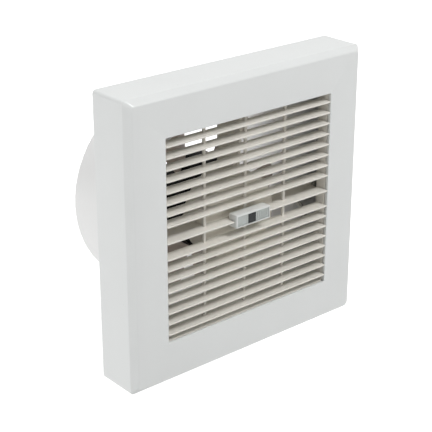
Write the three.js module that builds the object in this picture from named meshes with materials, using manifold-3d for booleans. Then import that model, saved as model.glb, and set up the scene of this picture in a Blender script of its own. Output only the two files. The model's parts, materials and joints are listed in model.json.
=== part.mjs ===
// A square-fronted exhaust fan for a window panel or a wall, with a 150 mm round duct spigot.
//
// Millimetres. X runs to the right as seen from the room, Y runs from the room into the wall,
// and Z is up. The origin is the middle of the casing's back edge, in the plane of the wall.

import * as THREE from 'three';
import { mergeVertices } from 'three/addons/utils/BufferGeometryUtils.js';
import Module from 'manifold-3d';

const wasm = await Module();
wasm.setup();

// ---------------------------------------------------------------- driving dimensions

const SEAT_GAP = 0.3;             // what two pieces that touch keep between them
const WELD_OVERLAP = 0.1;         // how far the shapes that make up one piece run into each other
const CUT_PAST = 1;               // how far a cutting shape runs out past what it cuts
const GRILLE_CLEARANCE = 0.4;     // between the grille's frame and the edge of the opening

// front cover
const CASING_SIDE = 200;
const CASING_DEPTH = 35;
const CASING_WALL = 2.4;
const CASING_CORNER = 2.5;
const CHAMFER_INSET = 3.8;
const CHAMFER_DEPTH = 4.4;
const OPENING_WIDTH = 142;
const OPENING_HEIGHT = 141;
const OPENING_RISE = 0.7;         // the opening sits a little above the casing's middle
const COLLAR_WALL = 1.6;          // the square collar behind the opening, which holds the grille
const HOOK_LENGTH = 14;
const HOOK_REACH = 2.2;
const HOOK_THICKNESS = 1.4;
const HOOK_SPACING = 90;

// louvre grille
const LOUVRES_EACH_HALF = 8;
const LOUVRE_PITCH = 7.63;
const CENTRE_PITCH = 11.4;        // either side of the louvre that carries the badge
const LOUVRE_DEPTH = 9.8;
const LOUVRE_LIP = 1.2;
const LOUVRE_TAIL = 0.9;
const LOUVRE_FALL = 0.3;          // the top of a louvre drops this much from its lip to its tail
const LOUVRE_RISE = 0.4;          // the middle louvre's height above the casing's middle
const RIB_SPACING = 35.1;
const RIB_THICKNESS = 2;
const RIB_DEPTH = 1.8;
const RIB_SETBACK = 6.3;
const GRILLE_BORDER = 4.6;
const GRILLE_FRAME_DEPTH = 8;

// badge on the middle louvre
const BADGE_WIDTH = 30;
const BADGE_HEIGHT = 9.3;
const BADGE_PROUD = 2;
const BADGE_BEVEL = 0.8;
const BADGE_RIM = 1.1;
const BADGE_PLATE = 0.7;
const BADGE_RECESS = 2.1;
const TILE_SHIFT = -1.1;
const TILE_THICKNESS = 0.8;

// duct housing: back plate, rim and spigot
const DUCT_BORE = 71.5;           // radius
const DUCT_WALL = 2;
const DUCT_LENGTH = 65.2;
const DUCT_DROP = 3.5;            // the duct's axis lies this far below the casing's middle
const DUCT_END_CHAMFER = 0.6;
const MOUTH_ROUND = 2;
const PLATE_THICKNESS = 2.6;
const PLATE_CLEARANCE = 0.4;
const RIM_INSET = 4.2;
const RIM_WALL = 2;
const RIM_HEIGHT = 9;
const FIXING_INSET = 12.2;        // wall-screw holes, from the plate's top and bottom edges
const FIXING_SPACING = 60;
const FIXING_RADIUS = 2.6;

// screws that hold the cover, one near each end of its bottom edge
const COVER_SCREW_MARGIN = 3.2;   // from a screw's pad to the terminal cover's tab
const COVER_SCREW_INSET = 9;      // from the wall plane
const COVER_PAD_THICKNESS = 3;
const COVER_PAD_SIDE = 12;
const COVER_SCREW_SINK = 2.2;

// motor mount
const CUP_RADIUS = 31;
const CUP_WALL = 2;
const CUP_DEPTH = 23;
const CUP_ROUND = 3;
const MOUNT_SETBACK = 0.7;        // behind the grille
const ARM_COUNT = 4;
const ARM_THICKNESS = 2.5;
const MOUNT_MARGIN = 8.5;         // from the duct's bore to the circle of mounting screws
const FOOT_WIDTH = 12;
const FOOT_THICKNESS = 2.6;
const BOSS_RADIUS = 5;
const BOSS_HEIGHT = 7.4;
const LEAD_HOLE_RADIUS = 4.2;

// motor
const MOTOR_CLEARANCE = 1.2;       // between the cup and the turning can
const CAN_RADIUS = 32.5;
const CAN_WALL = 1.3;
const CAN_DEPTH = 33;
const CAN_ROUND = 3;
const CAN_BOSS_RADIUS = 7.5;
const CAN_BOSS_LENGTH = 5;
const CAN_VENTS = 6;
const CAN_VENT_RADIUS = 3;
const CAN_VENT_CIRCLE = 20;
const ROTOR_RING_WALL = 5.5;
const AIR_GAP = 0.6;
const STACK_LENGTH = 18;
const STACK_START = 6;            // from the can's open edge
const STATOR_SLOTS = 12;
const SLOT_DEPTH = 9;
const WINDING_HEIGHT = 4.6;
const WINDING_INSET = 1.6;
const TUBE_RADIUS = 8.5;
const TUBE_BORE = 6.3;
const TUBE_FLANGE_RADIUS = 16;
const TUBE_FLANGE = 2.5;
const BEARING_WIDTH = 5;
const SHAFT_RADIUS = 3;
const CIRCLIP_RADIUS = 5.2;
const CIRCLIP_THICKNESS = 1;
const NUT_ACROSS_FLATS = 10;
const NUT_HEIGHT = 3.2;

// fan blades, each fixed to the can by a curved foot
const BLADE_COUNT = 6;
const BLADE_FRONT = 17;           // from the wall plane to the leading edge
const BLADE_DEPTH_ROOT = 16;
const BLADE_DEPTH_TIP = 14;
const SWEEP_ANGLE_ROOT = 38;      // degrees that a blade turns from its leading to its trailing edge
const SWEEP_ANGLE_TIP = 37;
const BLADE_CAMBER = 1.8;
const BLADE_THICKNESS = 1.8;
const EDGE_THINNING = 0.55;       // share of the thickness that a blade loses at its two long edges
const TIP_THINNING = 0.15;        // share that it gains at the root and loses at the tip
const CORNER_CUT = 0.06;          // how much shorter a blade is at its two outer corners
const BLADE_FOOT = 1.6;
const BLADE_FOOT_WIDTH = 5;
const TIP_CLEARANCE = 2.5;
const REST_ANGLE = 131;           // degrees from +X to the first leading edge, at rest

// mains connection, in the casing's lower right corner
const TERMINALS = 3;
const TERMINAL_PITCH = 8;
const TERMINAL_END = 1;           // the block past its first and last poles
const TERMINAL_HEIGHT = 12;
const TERMINAL_DEPTH = 11;
const CLAMP_LENGTH = 24;
const CLAMP_WIDTH = 6;
const CLAMP_THICKNESS = 2.4;
const CLAMP_SCREW_SPACING = 17;
const CLAMP_POST_HEIGHT = 6;
const CLAMP_POST_RADIUS = 3;
const GROMMET_RADIUS = 5.2;
const GROMMET_LIP = 1.4;
const GROMMET_LIP_WIDTH = 1.2;
const GROMMET_BORE = 2.6;
const WIRING_SPACING = 3;         // between the block, the clamp and the grommet
const BOX_WALL = 1.5;
const BOX_CLEARANCE = 0.6;
const BOX_DEPTH = 18;
const LEAD_RADIUS = 1.2;

// small screws: [head radius, head height, shank radius, shank length]
const MOUNT_SCREW = [3.6, 2.2, 1.7, 8.4];
const COVER_SCREW = [3.4, 1.9, 1.7, 11];
const TERMINAL_SCREW = [1.9, 1.2, 1.2, 4.5];
const CLAMP_SCREW = [2.6, 1.7, 1.2, 6.6];
const BOX_SCREW = [2.6, 1.7, 1.3, 8];
const SCREW_RECESS = 0.55;        // share of the head's height
const DRIVE_REACH = 0.65;         // share of the head's radius
const DRIVE_WIDTH = 0.7;

// facets on a full circle, by size
const ROUND_LARGE = 64;
const ROUND_MEDIUM = 28;
const ROUND_SMALL = 12;

// ---------------------------------------------------------------- places worked out from them

const RIGHT_ANGLE = Math.PI / 2;
const FULL_TURN = Math.PI * 2;

const frontY = -CASING_DEPTH;
const skinBackY = frontY + CASING_WALL;
const cavitySide = CASING_SIDE - 2 * CASING_WALL;
const cavityHalf = cavitySide / 2;

const grilleFrontY = skinBackY + SEAT_GAP;
const grilleBackY = grilleFrontY + GRILLE_FRAME_DEPTH;
const grilleInnerWidth = OPENING_WIDTH - 2 * GRILLE_CLEARANCE;
const grilleInnerHeight = OPENING_HEIGHT - 2 * GRILLE_CLEARANCE;
const grilleOuterWidth = grilleInnerWidth + 2 * GRILLE_BORDER;
const grilleOuterHeight = grilleInnerHeight + 2 * GRILLE_BORDER;
const ribFrontY = frontY + RIB_SETBACK;
const ribBackY = ribFrontY + RIB_DEPTH;
const louvreBackY = frontY + LOUVRE_DEPTH;

const badgeFrontY = frontY - BADGE_PROUD;
const badgeBackY = ribFrontY - SEAT_GAP;
const badgeFloorY = badgeFrontY + BADGE_RECESS;
const badgePlateY = badgeFloorY - SEAT_GAP - BADGE_PLATE;
const tileSide = BADGE_HEIGHT - 2 * (BADGE_RIM + SEAT_GAP);

const plateFrontY = -PLATE_THICKNESS;
const plateSide = cavitySide - 2 * PLATE_CLEARANCE;
const rimOuterHalf = plateSide / 2 - RIM_INSET;
const rimInnerHalf = rimOuterHalf - RIM_WALL;
const rimFrontY = plateFrontY - RIM_HEIGHT;

const mountFrontY = grilleBackY + MOUNT_SETBACK;
const cupBackY = mountFrontY + CUP_DEPTH;
const bossFrontY = plateFrontY - BOSS_HEIGHT;
const footBackY = bossFrontY - SEAT_GAP;
const footFrontY = footBackY - FOOT_THICKNESS;
const mountCircle = DUCT_BORE + MOUNT_MARGIN;
const footInner = mountCircle - FOOT_WIDTH / 2;

const canFrontY = cupBackY + MOTOR_CLEARANCE;
const canBackY = canFrontY + CAN_DEPTH;
const rotorRingOuter = CAN_RADIUS - CAN_WALL - SEAT_GAP;
const rotorRingInner = rotorRingOuter - ROTOR_RING_WALL;
const statorRadius = rotorRingInner - AIR_GAP;
const stackFrontY = canFrontY + STACK_START;
const stackBackY = stackFrontY + STACK_LENGTH;
const windingInner = TUBE_RADIUS + SEAT_GAP + WINDING_INSET;
const windingOuter = statorRadius - WINDING_INSET;
const tubeFlangeFrontY = mountFrontY + CUP_WALL + SEAT_GAP;
const canBossFrontY = canBackY - CAN_WALL - CAN_BOSS_LENGTH;
const tubeBackY = canBossFrontY - SEAT_GAP;
const bearingOuter = TUBE_BORE - SEAT_GAP;
const bearingBore = SHAFT_RADIUS + SEAT_GAP;
const rearBearingY = tubeBackY - SEAT_GAP - BEARING_WIDTH;
const frontBearingY = tubeFlangeFrontY + TUBE_FLANGE + SEAT_GAP + CIRCLIP_THICKNESS;
const circlipY = frontBearingY - SEAT_GAP - CIRCLIP_THICKNESS;
const shaftFrontY = circlipY - SEAT_GAP;
const nutFrontY = canBackY + SEAT_GAP;
const nutBackY = nutFrontY + NUT_HEIGHT;

const bladeRootRadius = CAN_RADIUS + SEAT_GAP;
const bladeTipRadius = DUCT_BORE - TIP_CLEARANCE;

const boxInnerReach = rimInnerHalf - SEAT_GAP - BOX_WALL;
const terminalWidth = TERMINALS * TERMINAL_PITCH + 2 * TERMINAL_END;
const grommetHeadRadius = GROMMET_RADIUS + GROMMET_LIP_WIDTH;
const grommetZ = -boxInnerReach + BOX_CLEARANCE + grommetHeadRadius;
const clampZ = grommetZ + grommetHeadRadius + WIRING_SPACING / 2 + CLAMP_WIDTH / 2;
const terminalZ = clampZ + CLAMP_WIDTH / 2 + WIRING_SPACING + TERMINAL_HEIGHT / 2;
const wiringX = boxInnerReach - BOX_CLEARANCE - terminalWidth / 2;
const terminalBackY = plateFrontY - SEAT_GAP;
const terminalFrontY = terminalBackY - TERMINAL_DEPTH;
const boxTopZ = terminalZ + TERMINAL_HEIGHT / 2 + WIRING_SPACING + BOX_WALL;
const boxLeftX = wiringX - terminalWidth / 2 - BOX_CLEARANCE - BOX_WALL;
const boxRightX = boxInnerReach + BOX_WALL;
const boxBottomZ = -boxInnerReach - BOX_WALL;
const boxFrontY = plateFrontY - BOX_DEPTH;
const boxTabReach = 2 * CLAMP_POST_RADIUS + SEAT_GAP;
const boxScrewX = boxLeftX - boxTabReach / 2;
const boxScrewZ = boxBottomZ + 2 * CLAMP_POST_RADIUS;
const boxPostFrontY = plateFrontY - CLAMP_POST_HEIGHT;
const boxTabBackY = boxPostFrontY - SEAT_GAP;
const boxTabFrontY = boxTabBackY - BOX_WALL;
const clampSeatY = plateFrontY - CLAMP_POST_HEIGHT;
const terminalScrewY = terminalFrontY + TERMINAL_DEPTH / 4;
const terminalWireY = terminalBackY - TERMINAL_DEPTH / 4;
const leadExitX = wiringX - (TERMINALS - 1) / 2 * TERMINAL_PITCH;
const leadRunZ = -(ARM_THICKNESS / 2 + LEAD_RADIUS + 2 * SEAT_GAP);
const leadRunY = (mountFrontY + cupBackY) / 2;
const leadLaneOffset = LEAD_RADIUS + SEAT_GAP;

const coverPadY = -COVER_SCREW_INSET;
const coverPadTopZ = -cavityHalf + COVER_PAD_THICKNESS;
const coverScrewX = boxLeftX - boxTabReach - COVER_SCREW_MARGIN - COVER_PAD_SIDE / 2;
const fixingZ = plateSide / 2 - FIXING_INSET;

// ---------------------------------------------------------------- materials

function plastic(color, roughness) {
  return new THREE.MeshStandardMaterial({ color, roughness, metalness: 0 });
}

function metal(color, roughness) {
  return new THREE.MeshStandardMaterial({ color, roughness, metalness: 1 });
}

const coverPlastic = plastic(0xe9eae9, 0.3);
const louvrePlastic = plastic(0xe4e0d8, 0.4);
const housingPlastic = plastic(0xe6e6e5, 0.38);
const mountPlastic = plastic(0xc9c4b9, 0.5);
const bladePlastic = plastic(0xd5d3cf, 0.45);
const badgePlastic = plastic(0xdfe1df, 0.35);
const badgeInsert = plastic(0xaeb4b0, 0.5);
const tileGloss = plastic(0x14171a, 0.12);
const canPaint = plastic(0x0b0a0a, 0.55);
const steel = metal(0x9a9b9c, 0.35);
const lamination = metal(0x6f7072, 0.5);
const aluminium = metal(0xb4b6b8, 0.4);
const copper = metal(0xa6583a, 0.45);
const brass = metal(0xb5975a, 0.35);
const terminalPlastic = plastic(0xdcdad2, 0.5);
const greyPlastic = plastic(0x8d8f90, 0.5);
const rubber = plastic(0x232323, 0.85);
const leadGrey = plastic(0x9a9994, 0.5);
const leadWhite = plastic(0xd2d0ca, 0.5);

// ---------------------------------------------------------------- shapes

// A closed solid from a geometry: shared corners are welded, faces with no area are dropped,
// and a shell whose faces point inwards is turned.
function solid(geometry) {
  const bare = geometry.clone();
  bare.deleteAttribute('normal');
  bare.deleteAttribute('uv');
  const welded = mergeVertices(bare, 1e-4);
  const points = welded.attributes.position.array;
  const index = welded.index.array;
  const triangles = [];
  for (let i = 0; i < index.length; i += 3) {
    const [a, b, c] = [index[i], index[i + 1], index[i + 2]];
    if (a !== b && b !== c && c !== a) triangles.push([a, b, c]);
  }
  const corner = (i) => new THREE.Vector3().fromArray(points, 3 * i);
  let volume = 0;
  for (const [a, b, c] of triangles) volume += corner(a).dot(corner(b).cross(corner(c)));
  const facing = volume < 0 ? triangles.map(([a, b, c]) => [a, c, b]) : triangles;
  return new wasm.Manifold(new wasm.Mesh({
    numProp: 3,
    vertProperties: new Float32Array(points),
    triVerts: new Uint32Array(facing.flat()),
  }));
}

function join(...solids) {
  return solids.reduce((whole, next) => whole.add(next));
}

function cut(body, ...tools) {
  return tools.reduce((left, tool) => left.subtract(tool), body);
}

function box(x0, x1, y0, y1, z0, z1) {
  const geometry = new THREE.BoxGeometry(x1 - x0, y1 - y0, z1 - z0);
  return solid(geometry.translate((x0 + x1) / 2, (y0 + y1) / 2, (z0 + z1) / 2));
}

function centredBox(width, height, y0, y1, x = 0, z = 0) {
  return box(x - width / 2, x + width / 2, y0, y1, z - height / 2, z + height / 2);
}

// A round bar along Y.
function bar(radius, y0, y1, x = 0, z = 0, facets = ROUND_SMALL) {
  const geometry = new THREE.CylinderGeometry(radius, radius, y1 - y0, facets);
  return solid(geometry.translate(x, (y0 + y1) / 2, z));
}

function roundedRectangle(width, height, radius) {
  const [x, z] = [width / 2 - radius, height / 2 - radius];
  const shape = new THREE.Shape();
  shape.absarc(x, -z, radius, -RIGHT_ANGLE, 0);
  shape.absarc(x, z, radius, 0, RIGHT_ANGLE);
  shape.absarc(-x, z, radius, RIGHT_ANGLE, 2 * RIGHT_ANGLE);
  shape.absarc(-x, -z, radius, 2 * RIGHT_ANGLE, 3 * RIGHT_ANGLE);
  return shape;
}

// A flat outline drawn in X and Z, with thickness from y0 to y1.
function slab(shape, y0, y1, facets = 4) {
  const geometry = new THREE.ExtrudeGeometry(shape, {
    depth: y1 - y0, bevelEnabled: false, curveSegments: facets,
  });
  return solid(geometry.rotateX(RIGHT_ANGLE).translate(0, y1, 0));
}

// A flat outline drawn in Y and Z, with its thickness along X, centred.
function sideways(shape, thickness) {
  const geometry = new THREE.ExtrudeGeometry(shape, { depth: thickness, bevelEnabled: false });
  return solid(geometry.applyMatrix4(new THREE.Matrix4().set(
    0, 0, 1, -thickness / 2,
    1, 0, 0, 0,
    0, 1, 0, 0,
    0, 0, 0, 1)));
}

// A rectangular block from y0 to y1, with round corners, whose front edges are chamfered.
function chamferedBlock(width, height, radius, inset, depth, y0, y1) {
  const outline = (half) => {
    const shape = new THREE.Shape();
    shape.moveTo(y0, half - inset);
    shape.lineTo(y0, inset - half);
    shape.lineTo(y0 + depth, -half);
    shape.lineTo(y1, -half);
    shape.lineTo(y1, half);
    shape.lineTo(y0 + depth, half);
    return shape;
  };
  const long = 2 * Math.max(width, height);
  const upDown = sideways(outline(height / 2), long);
  const leftRight = sideways(outline(width / 2), long).rotate([0, 90, 0]);
  return slab(roundedRectangle(width, height, radius), y0, y1).intersect(upDown).intersect(leftRight);
}

// A solid of revolution round a Y axis, from [radius, y] corners.
function turned(corners, facets = ROUND_MEDIUM) {
  const profile = corners.map(([radius, y]) => new THREE.Vector2(radius, y));
  if (THREE.ShapeUtils.area(profile) < 0) profile.reverse();
  profile.push(profile[0].clone());
  return solid(new THREE.LatheGeometry(profile, facets));
}

// Corners of a quarter circle, for a turned profile.
function quarterRound(centreRadius, centreY, round, fromAngle, steps = 2) {
  const corners = [];
  for (let i = 0; i <= steps; i++) {
    const angle = fromAngle + RIGHT_ANGLE * i / steps;
    corners.push([centreRadius + round * Math.cos(angle), centreY + round * Math.sin(angle)]);
  }
  return corners;
}

function washer(inner, outer, y0, y1, facets = ROUND_MEDIUM) {
  return turned([[inner, y0], [outer, y0], [outer, y1], [inner, y1]], facets);
}

function aroundDuct(count, make) {
  return Array.from({ length: count }, (_, i) => make(i * FULL_TURN / count, i));
}

// A pan-head screw along Y, its head's seat at y = 0 and its shank towards +Y.
function screwShape([headRadius, headHeight, shankRadius, shankLength]) {
  const chamfer = headHeight / 3;
  const body = turned([
    [0, -headHeight], [headRadius - chamfer, -headHeight], [headRadius, -headHeight + chamfer],
    [headRadius, 0], [shankRadius, 0], [shankRadius, shankLength - shankRadius],
    [0, shankLength],
  ], ROUND_SMALL);
  const reach = headRadius * DRIVE_REACH;
  const floor = -headHeight * (1 - SCREW_RECESS);
  const slot = box(-reach, reach, -2 * headHeight, floor, -DRIVE_WIDTH / 2, DRIVE_WIDTH / 2);
  const cross = box(-DRIVE_WIDTH / 2, DRIVE_WIDTH / 2, -2 * headHeight, floor, -reach, reach);
  return cut(body, slot, cross);
}

// ---------------------------------------------------------------- the object

const fan = new THREE.Group();
fan.name = 'exhaust_fan';

const ductGroup = new THREE.Group();
ductGroup.position.z = -DUCT_DROP;
fan.add(ductGroup);

const impellerGroup = new THREE.Group();
ductGroup.add(impellerGroup);

function addMesh(parent, name, shape, material) {
  const { vertProperties, triVerts } = shape.getMesh();
  const geometry = new THREE.BufferGeometry();
  geometry.setAttribute('position', new THREE.BufferAttribute(new Float32Array(vertProperties), 3));
  geometry.setIndex(new THREE.BufferAttribute(new Uint32Array(triVerts), 1));
  geometry.computeVertexNormals();
  const mesh = new THREE.Mesh(geometry, material);
  mesh.name = name;
  parent.add(mesh);
  return mesh;
}

// ---------------------------------------------------------------- front cover

function grilleCollar() {
  const inner = SEAT_GAP * 2;
  const wall = inner + 2 * COLLAR_WALL;
  const back = grilleBackY + SEAT_GAP;
  const outside = centredBox(
    grilleOuterWidth + wall, grilleOuterHeight + wall, skinBackY - CASING_WALL / 2, back, 0, OPENING_RISE);
  const inside = centredBox(
    grilleOuterWidth + inner, grilleOuterHeight + inner, frontY, back + CUT_PAST, 0, OPENING_RISE);
  return cut(outside, inside);
}

// Eight hooks on the collar reach over the back of the grille's frame.
function grilleHooks() {
  const y0 = grilleBackY + SEAT_GAP;
  const y1 = y0 + HOOK_THICKNESS;
  const reachX = grilleOuterWidth / 2 + SEAT_GAP + COLLAR_WALL;
  const reachZ = grilleOuterHeight / 2 + SEAT_GAP + COLLAR_WALL;
  const width = COLLAR_WALL + SEAT_GAP + HOOK_REACH;
  const hooks = [];
  for (const side of [-1, 1]) {
    for (const along of [-HOOK_SPACING / 2, HOOK_SPACING / 2]) {
      const x = side * (reachX - width / 2);
      const z = side * (reachZ - width / 2) + OPENING_RISE;
      hooks.push(centredBox(width, HOOK_LENGTH, y0 - COLLAR_WALL, y1, x, along + OPENING_RISE));
      hooks.push(centredBox(HOOK_LENGTH, width, y0 - COLLAR_WALL, y1, along, z));
    }
  }
  const seat = centredBox(
    grilleOuterWidth + 2 * SEAT_GAP, grilleOuterHeight + 2 * SEAT_GAP, frontY, y0, 0, OPENING_RISE);
  return cut(join(...hooks), seat);
}

function coverScrewPlaces() {
  return [-coverScrewX, coverScrewX];
}

// A round bar along Z.
function upright(radius, z0, z1, x, y) {
  const geometry = new THREE.CylinderGeometry(radius, radius, z1 - z0, ROUND_SMALL);
  return solid(geometry.rotateX(RIGHT_ANGLE).translate(x, y, (z0 + z1) / 2));
}

function frontCover() {
  const block = (side, corner, y0, y1) => chamferedBlock(
    side, side, corner, CHAMFER_INSET, CHAMFER_DEPTH, y0, y1);
  const outside = block(CASING_SIDE, CASING_CORNER, frontY, 0);
  const cavity = block(cavitySide, CASING_CORNER / 2, skinBackY, CASING_DEPTH);
  const opening = centredBox(
    OPENING_WIDTH, OPENING_HEIGHT, frontY - CUT_PAST, skinBackY + CUT_PAST, 0, OPENING_RISE);
  let cover = join(cut(outside, cavity, opening), grilleCollar(), grilleHooks());
  const [headRadius, , shankRadius] = COVER_SCREW;
  const bottom = -CASING_SIDE / 2;
  for (const x of coverScrewPlaces()) {
    const half = COVER_PAD_SIDE / 2;
    const padBack = Math.min(coverPadY + half, plateFrontY - SEAT_GAP);
    const pad = box(x - half, x + half, coverPadY - half, padBack, -cavityHalf - WELD_OVERLAP, coverPadTopZ);
    const sink = upright(headRadius + SEAT_GAP, bottom - CUT_PAST, bottom + COVER_SCREW_SINK, x, coverPadY);
    const hole = upright(shankRadius + SEAT_GAP, bottom - CUT_PAST, coverPadTopZ + CUT_PAST, x, coverPadY);
    cover = cut(cover.add(pad), sink, hole);
  }
  return cover;
}

// ---------------------------------------------------------------- louvre grille

function louvreHeights() {
  const heights = [LOUVRE_RISE];
  for (let i = 0; i < LOUVRES_EACH_HALF; i++) {
    const offset = CENTRE_PITCH + i * LOUVRE_PITCH;
    heights.push(LOUVRE_RISE + offset, LOUVRE_RISE - offset);
  }
  return heights;
}

// One louvre, level but for a slight fall towards the tail, where it is thinner.
function louvre(z) {
  const lip = LOUVRE_LIP / 2;
  const profile = new THREE.Shape();
  profile.moveTo(frontY, z - lip);
  profile.lineTo(louvreBackY, z + lip - LOUVRE_FALL - LOUVRE_TAIL);
  profile.lineTo(louvreBackY, z + lip - LOUVRE_FALL);
  profile.lineTo(frontY, z + lip);
  return sideways(profile, grilleInnerWidth + 2 * WELD_OVERLAP);
}

function louvreGrille() {
  const frame = cut(
    centredBox(grilleOuterWidth, grilleOuterHeight, grilleFrontY, grilleBackY, 0, OPENING_RISE),
    centredBox(grilleInnerWidth, grilleInnerHeight, frontY, 0, 0, OPENING_RISE));
  const ribs = [-RIB_SPACING, 0, RIB_SPACING].map((x) => centredBox(
    RIB_THICKNESS, grilleInnerHeight + 2 * WELD_OVERLAP, ribFrontY, ribBackY, x, OPENING_RISE));
  const badgePocket = centredBox(
    BADGE_WIDTH + 2 * SEAT_GAP, BADGE_HEIGHT + 2 * SEAT_GAP, badgeFrontY, ribFrontY, 0, OPENING_RISE);
  return cut(join(frame, ...ribs, ...louvreHeights().map(louvre)), badgePocket);
}

// ---------------------------------------------------------------- badge

function badgeBlock() {
  const body = chamferedBlock(
    BADGE_WIDTH, BADGE_HEIGHT, BADGE_BEVEL, BADGE_BEVEL, BADGE_BEVEL, badgeFrontY, badgeBackY);
  const recess = centredBox(
    BADGE_WIDTH - 2 * BADGE_RIM, BADGE_HEIGHT - 2 * BADGE_RIM, badgeFrontY - CUT_PAST, badgeFloorY);
  return cut(body, recess).translate([0, 0, OPENING_RISE]);
}

// A plain plate that fills the block's recess.
function badgePlate() {
  const inset = 2 * (BADGE_RIM + SEAT_GAP);
  return centredBox(
    BADGE_WIDTH - inset, BADGE_HEIGHT - inset, badgePlateY, badgeFloorY - SEAT_GAP, 0, OPENING_RISE);
}

function badgeTile() {
  const y1 = badgePlateY - SEAT_GAP;
  return centredBox(tileSide, tileSide, y1 - TILE_THICKNESS, y1, TILE_SHIFT, OPENING_RISE);
}

// ---------------------------------------------------------------- duct housing

// Back plate, rim, spigot, and the bosses and posts that carry the rest.
function ductHousing() {
  const plate = slab(roundedRectangle(plateSide, plateSide, CASING_CORNER), plateFrontY, 0);
  const footRoom = FOOT_WIDTH + 2 * SEAT_GAP;
  const rim = cut(
    centredBox(2 * rimOuterHalf, 2 * rimOuterHalf, rimFrontY, plateFrontY + WELD_OVERLAP),
    centredBox(2 * rimInnerHalf, 2 * rimInnerHalf, rimFrontY - CUT_PAST, 0),
    ...mountPlaces().map(([x, z]) => centredBox(footRoom, footRoom, rimFrontY - CUT_PAST, bossFrontY, x, z)));
  const outer = DUCT_BORE + DUCT_WALL;
  const spigot = turned([
    [DUCT_BORE, plateFrontY / 2], [outer, plateFrontY / 2], [outer, DUCT_LENGTH - DUCT_END_CHAMFER],
    [outer - DUCT_END_CHAMFER, DUCT_LENGTH], [DUCT_BORE, DUCT_LENGTH],
  ], ROUND_LARGE).translate([0, 0, -DUCT_DROP]);
  const mouth = turned([
    [0, plateFrontY - CUT_PAST], [DUCT_BORE + MOUTH_ROUND, plateFrontY - CUT_PAST],
    ...quarterRound(DUCT_BORE + MOUTH_ROUND, plateFrontY + MOUTH_ROUND, MOUTH_ROUND, -RIGHT_ANGLE)
      .map(([radius, y]) => [2 * (DUCT_BORE + MOUTH_ROUND) - radius, y]),
    [DUCT_BORE, DUCT_LENGTH + CUT_PAST], [0, DUCT_LENGTH + CUT_PAST],
  ], ROUND_LARGE).translate([0, 0, -DUCT_DROP]);
  let housing = cut(join(plate, rim, spigot), mouth);

  const [, , mountShank] = MOUNT_SCREW;
  for (const [x, z] of mountPlaces()) {
    housing = housing
      .add(bar(BOSS_RADIUS, bossFrontY, plateFrontY + WELD_OVERLAP, x, z))
      .subtract(bar(mountShank + SEAT_GAP, bossFrontY - CUT_PAST, CUT_PAST, x, z));
  }
  for (const x of [-FIXING_SPACING / 2, FIXING_SPACING / 2]) {
    for (const z of [-fixingZ, fixingZ]) {
      housing = housing.subtract(bar(FIXING_RADIUS, plateFrontY - CUT_PAST, CUT_PAST, x, z));
    }
  }

  const [, , coverShank, coverReach] = COVER_SCREW;
  const blockTop = -CASING_SIDE / 2 + COVER_SCREW_SINK + coverReach + COVER_PAD_THICKNESS;
  for (const x of coverScrewPlaces()) {
    const half = COVER_PAD_SIDE / 2;
    const z0 = coverPadTopZ + SEAT_GAP;
    housing = housing
      .add(box(x - half, x + half, coverPadY - half, plateFrontY + WELD_OVERLAP, z0, blockTop))
      .subtract(upright(coverShank + SEAT_GAP, z0 - CUT_PAST, blockTop - CASING_WALL, x, coverPadY));
  }

  for (const x of clampScrewPlaces()) {
    housing = housing
      .add(bar(CLAMP_POST_RADIUS, clampSeatY, plateFrontY + WELD_OVERLAP, x, clampZ))
      .subtract(bar(CLAMP_SCREW[2] + SEAT_GAP, clampSeatY - CUT_PAST, CUT_PAST, x, clampZ));
  }
  housing = housing
    .add(bar(CLAMP_POST_RADIUS, boxPostFrontY, plateFrontY + WELD_OVERLAP, boxScrewX, boxScrewZ))
    .subtract(bar(BOX_SCREW[2] + SEAT_GAP, boxPostFrontY - CUT_PAST, CUT_PAST, boxScrewX, boxScrewZ));
  return housing.subtract(bar(
    GROMMET_RADIUS + SEAT_GAP, plateFrontY - CUT_PAST, CUT_PAST, wiringX, grommetZ, ROUND_MEDIUM));
}

// Screw places at the ends of the motor mount's arms.
function mountPlaces() {
  return aroundDuct(ARM_COUNT, (angle) => [
    mountCircle * Math.cos(angle), mountCircle * Math.sin(angle) - DUCT_DROP]);
}

// ---------------------------------------------------------------- motor mount

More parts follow.
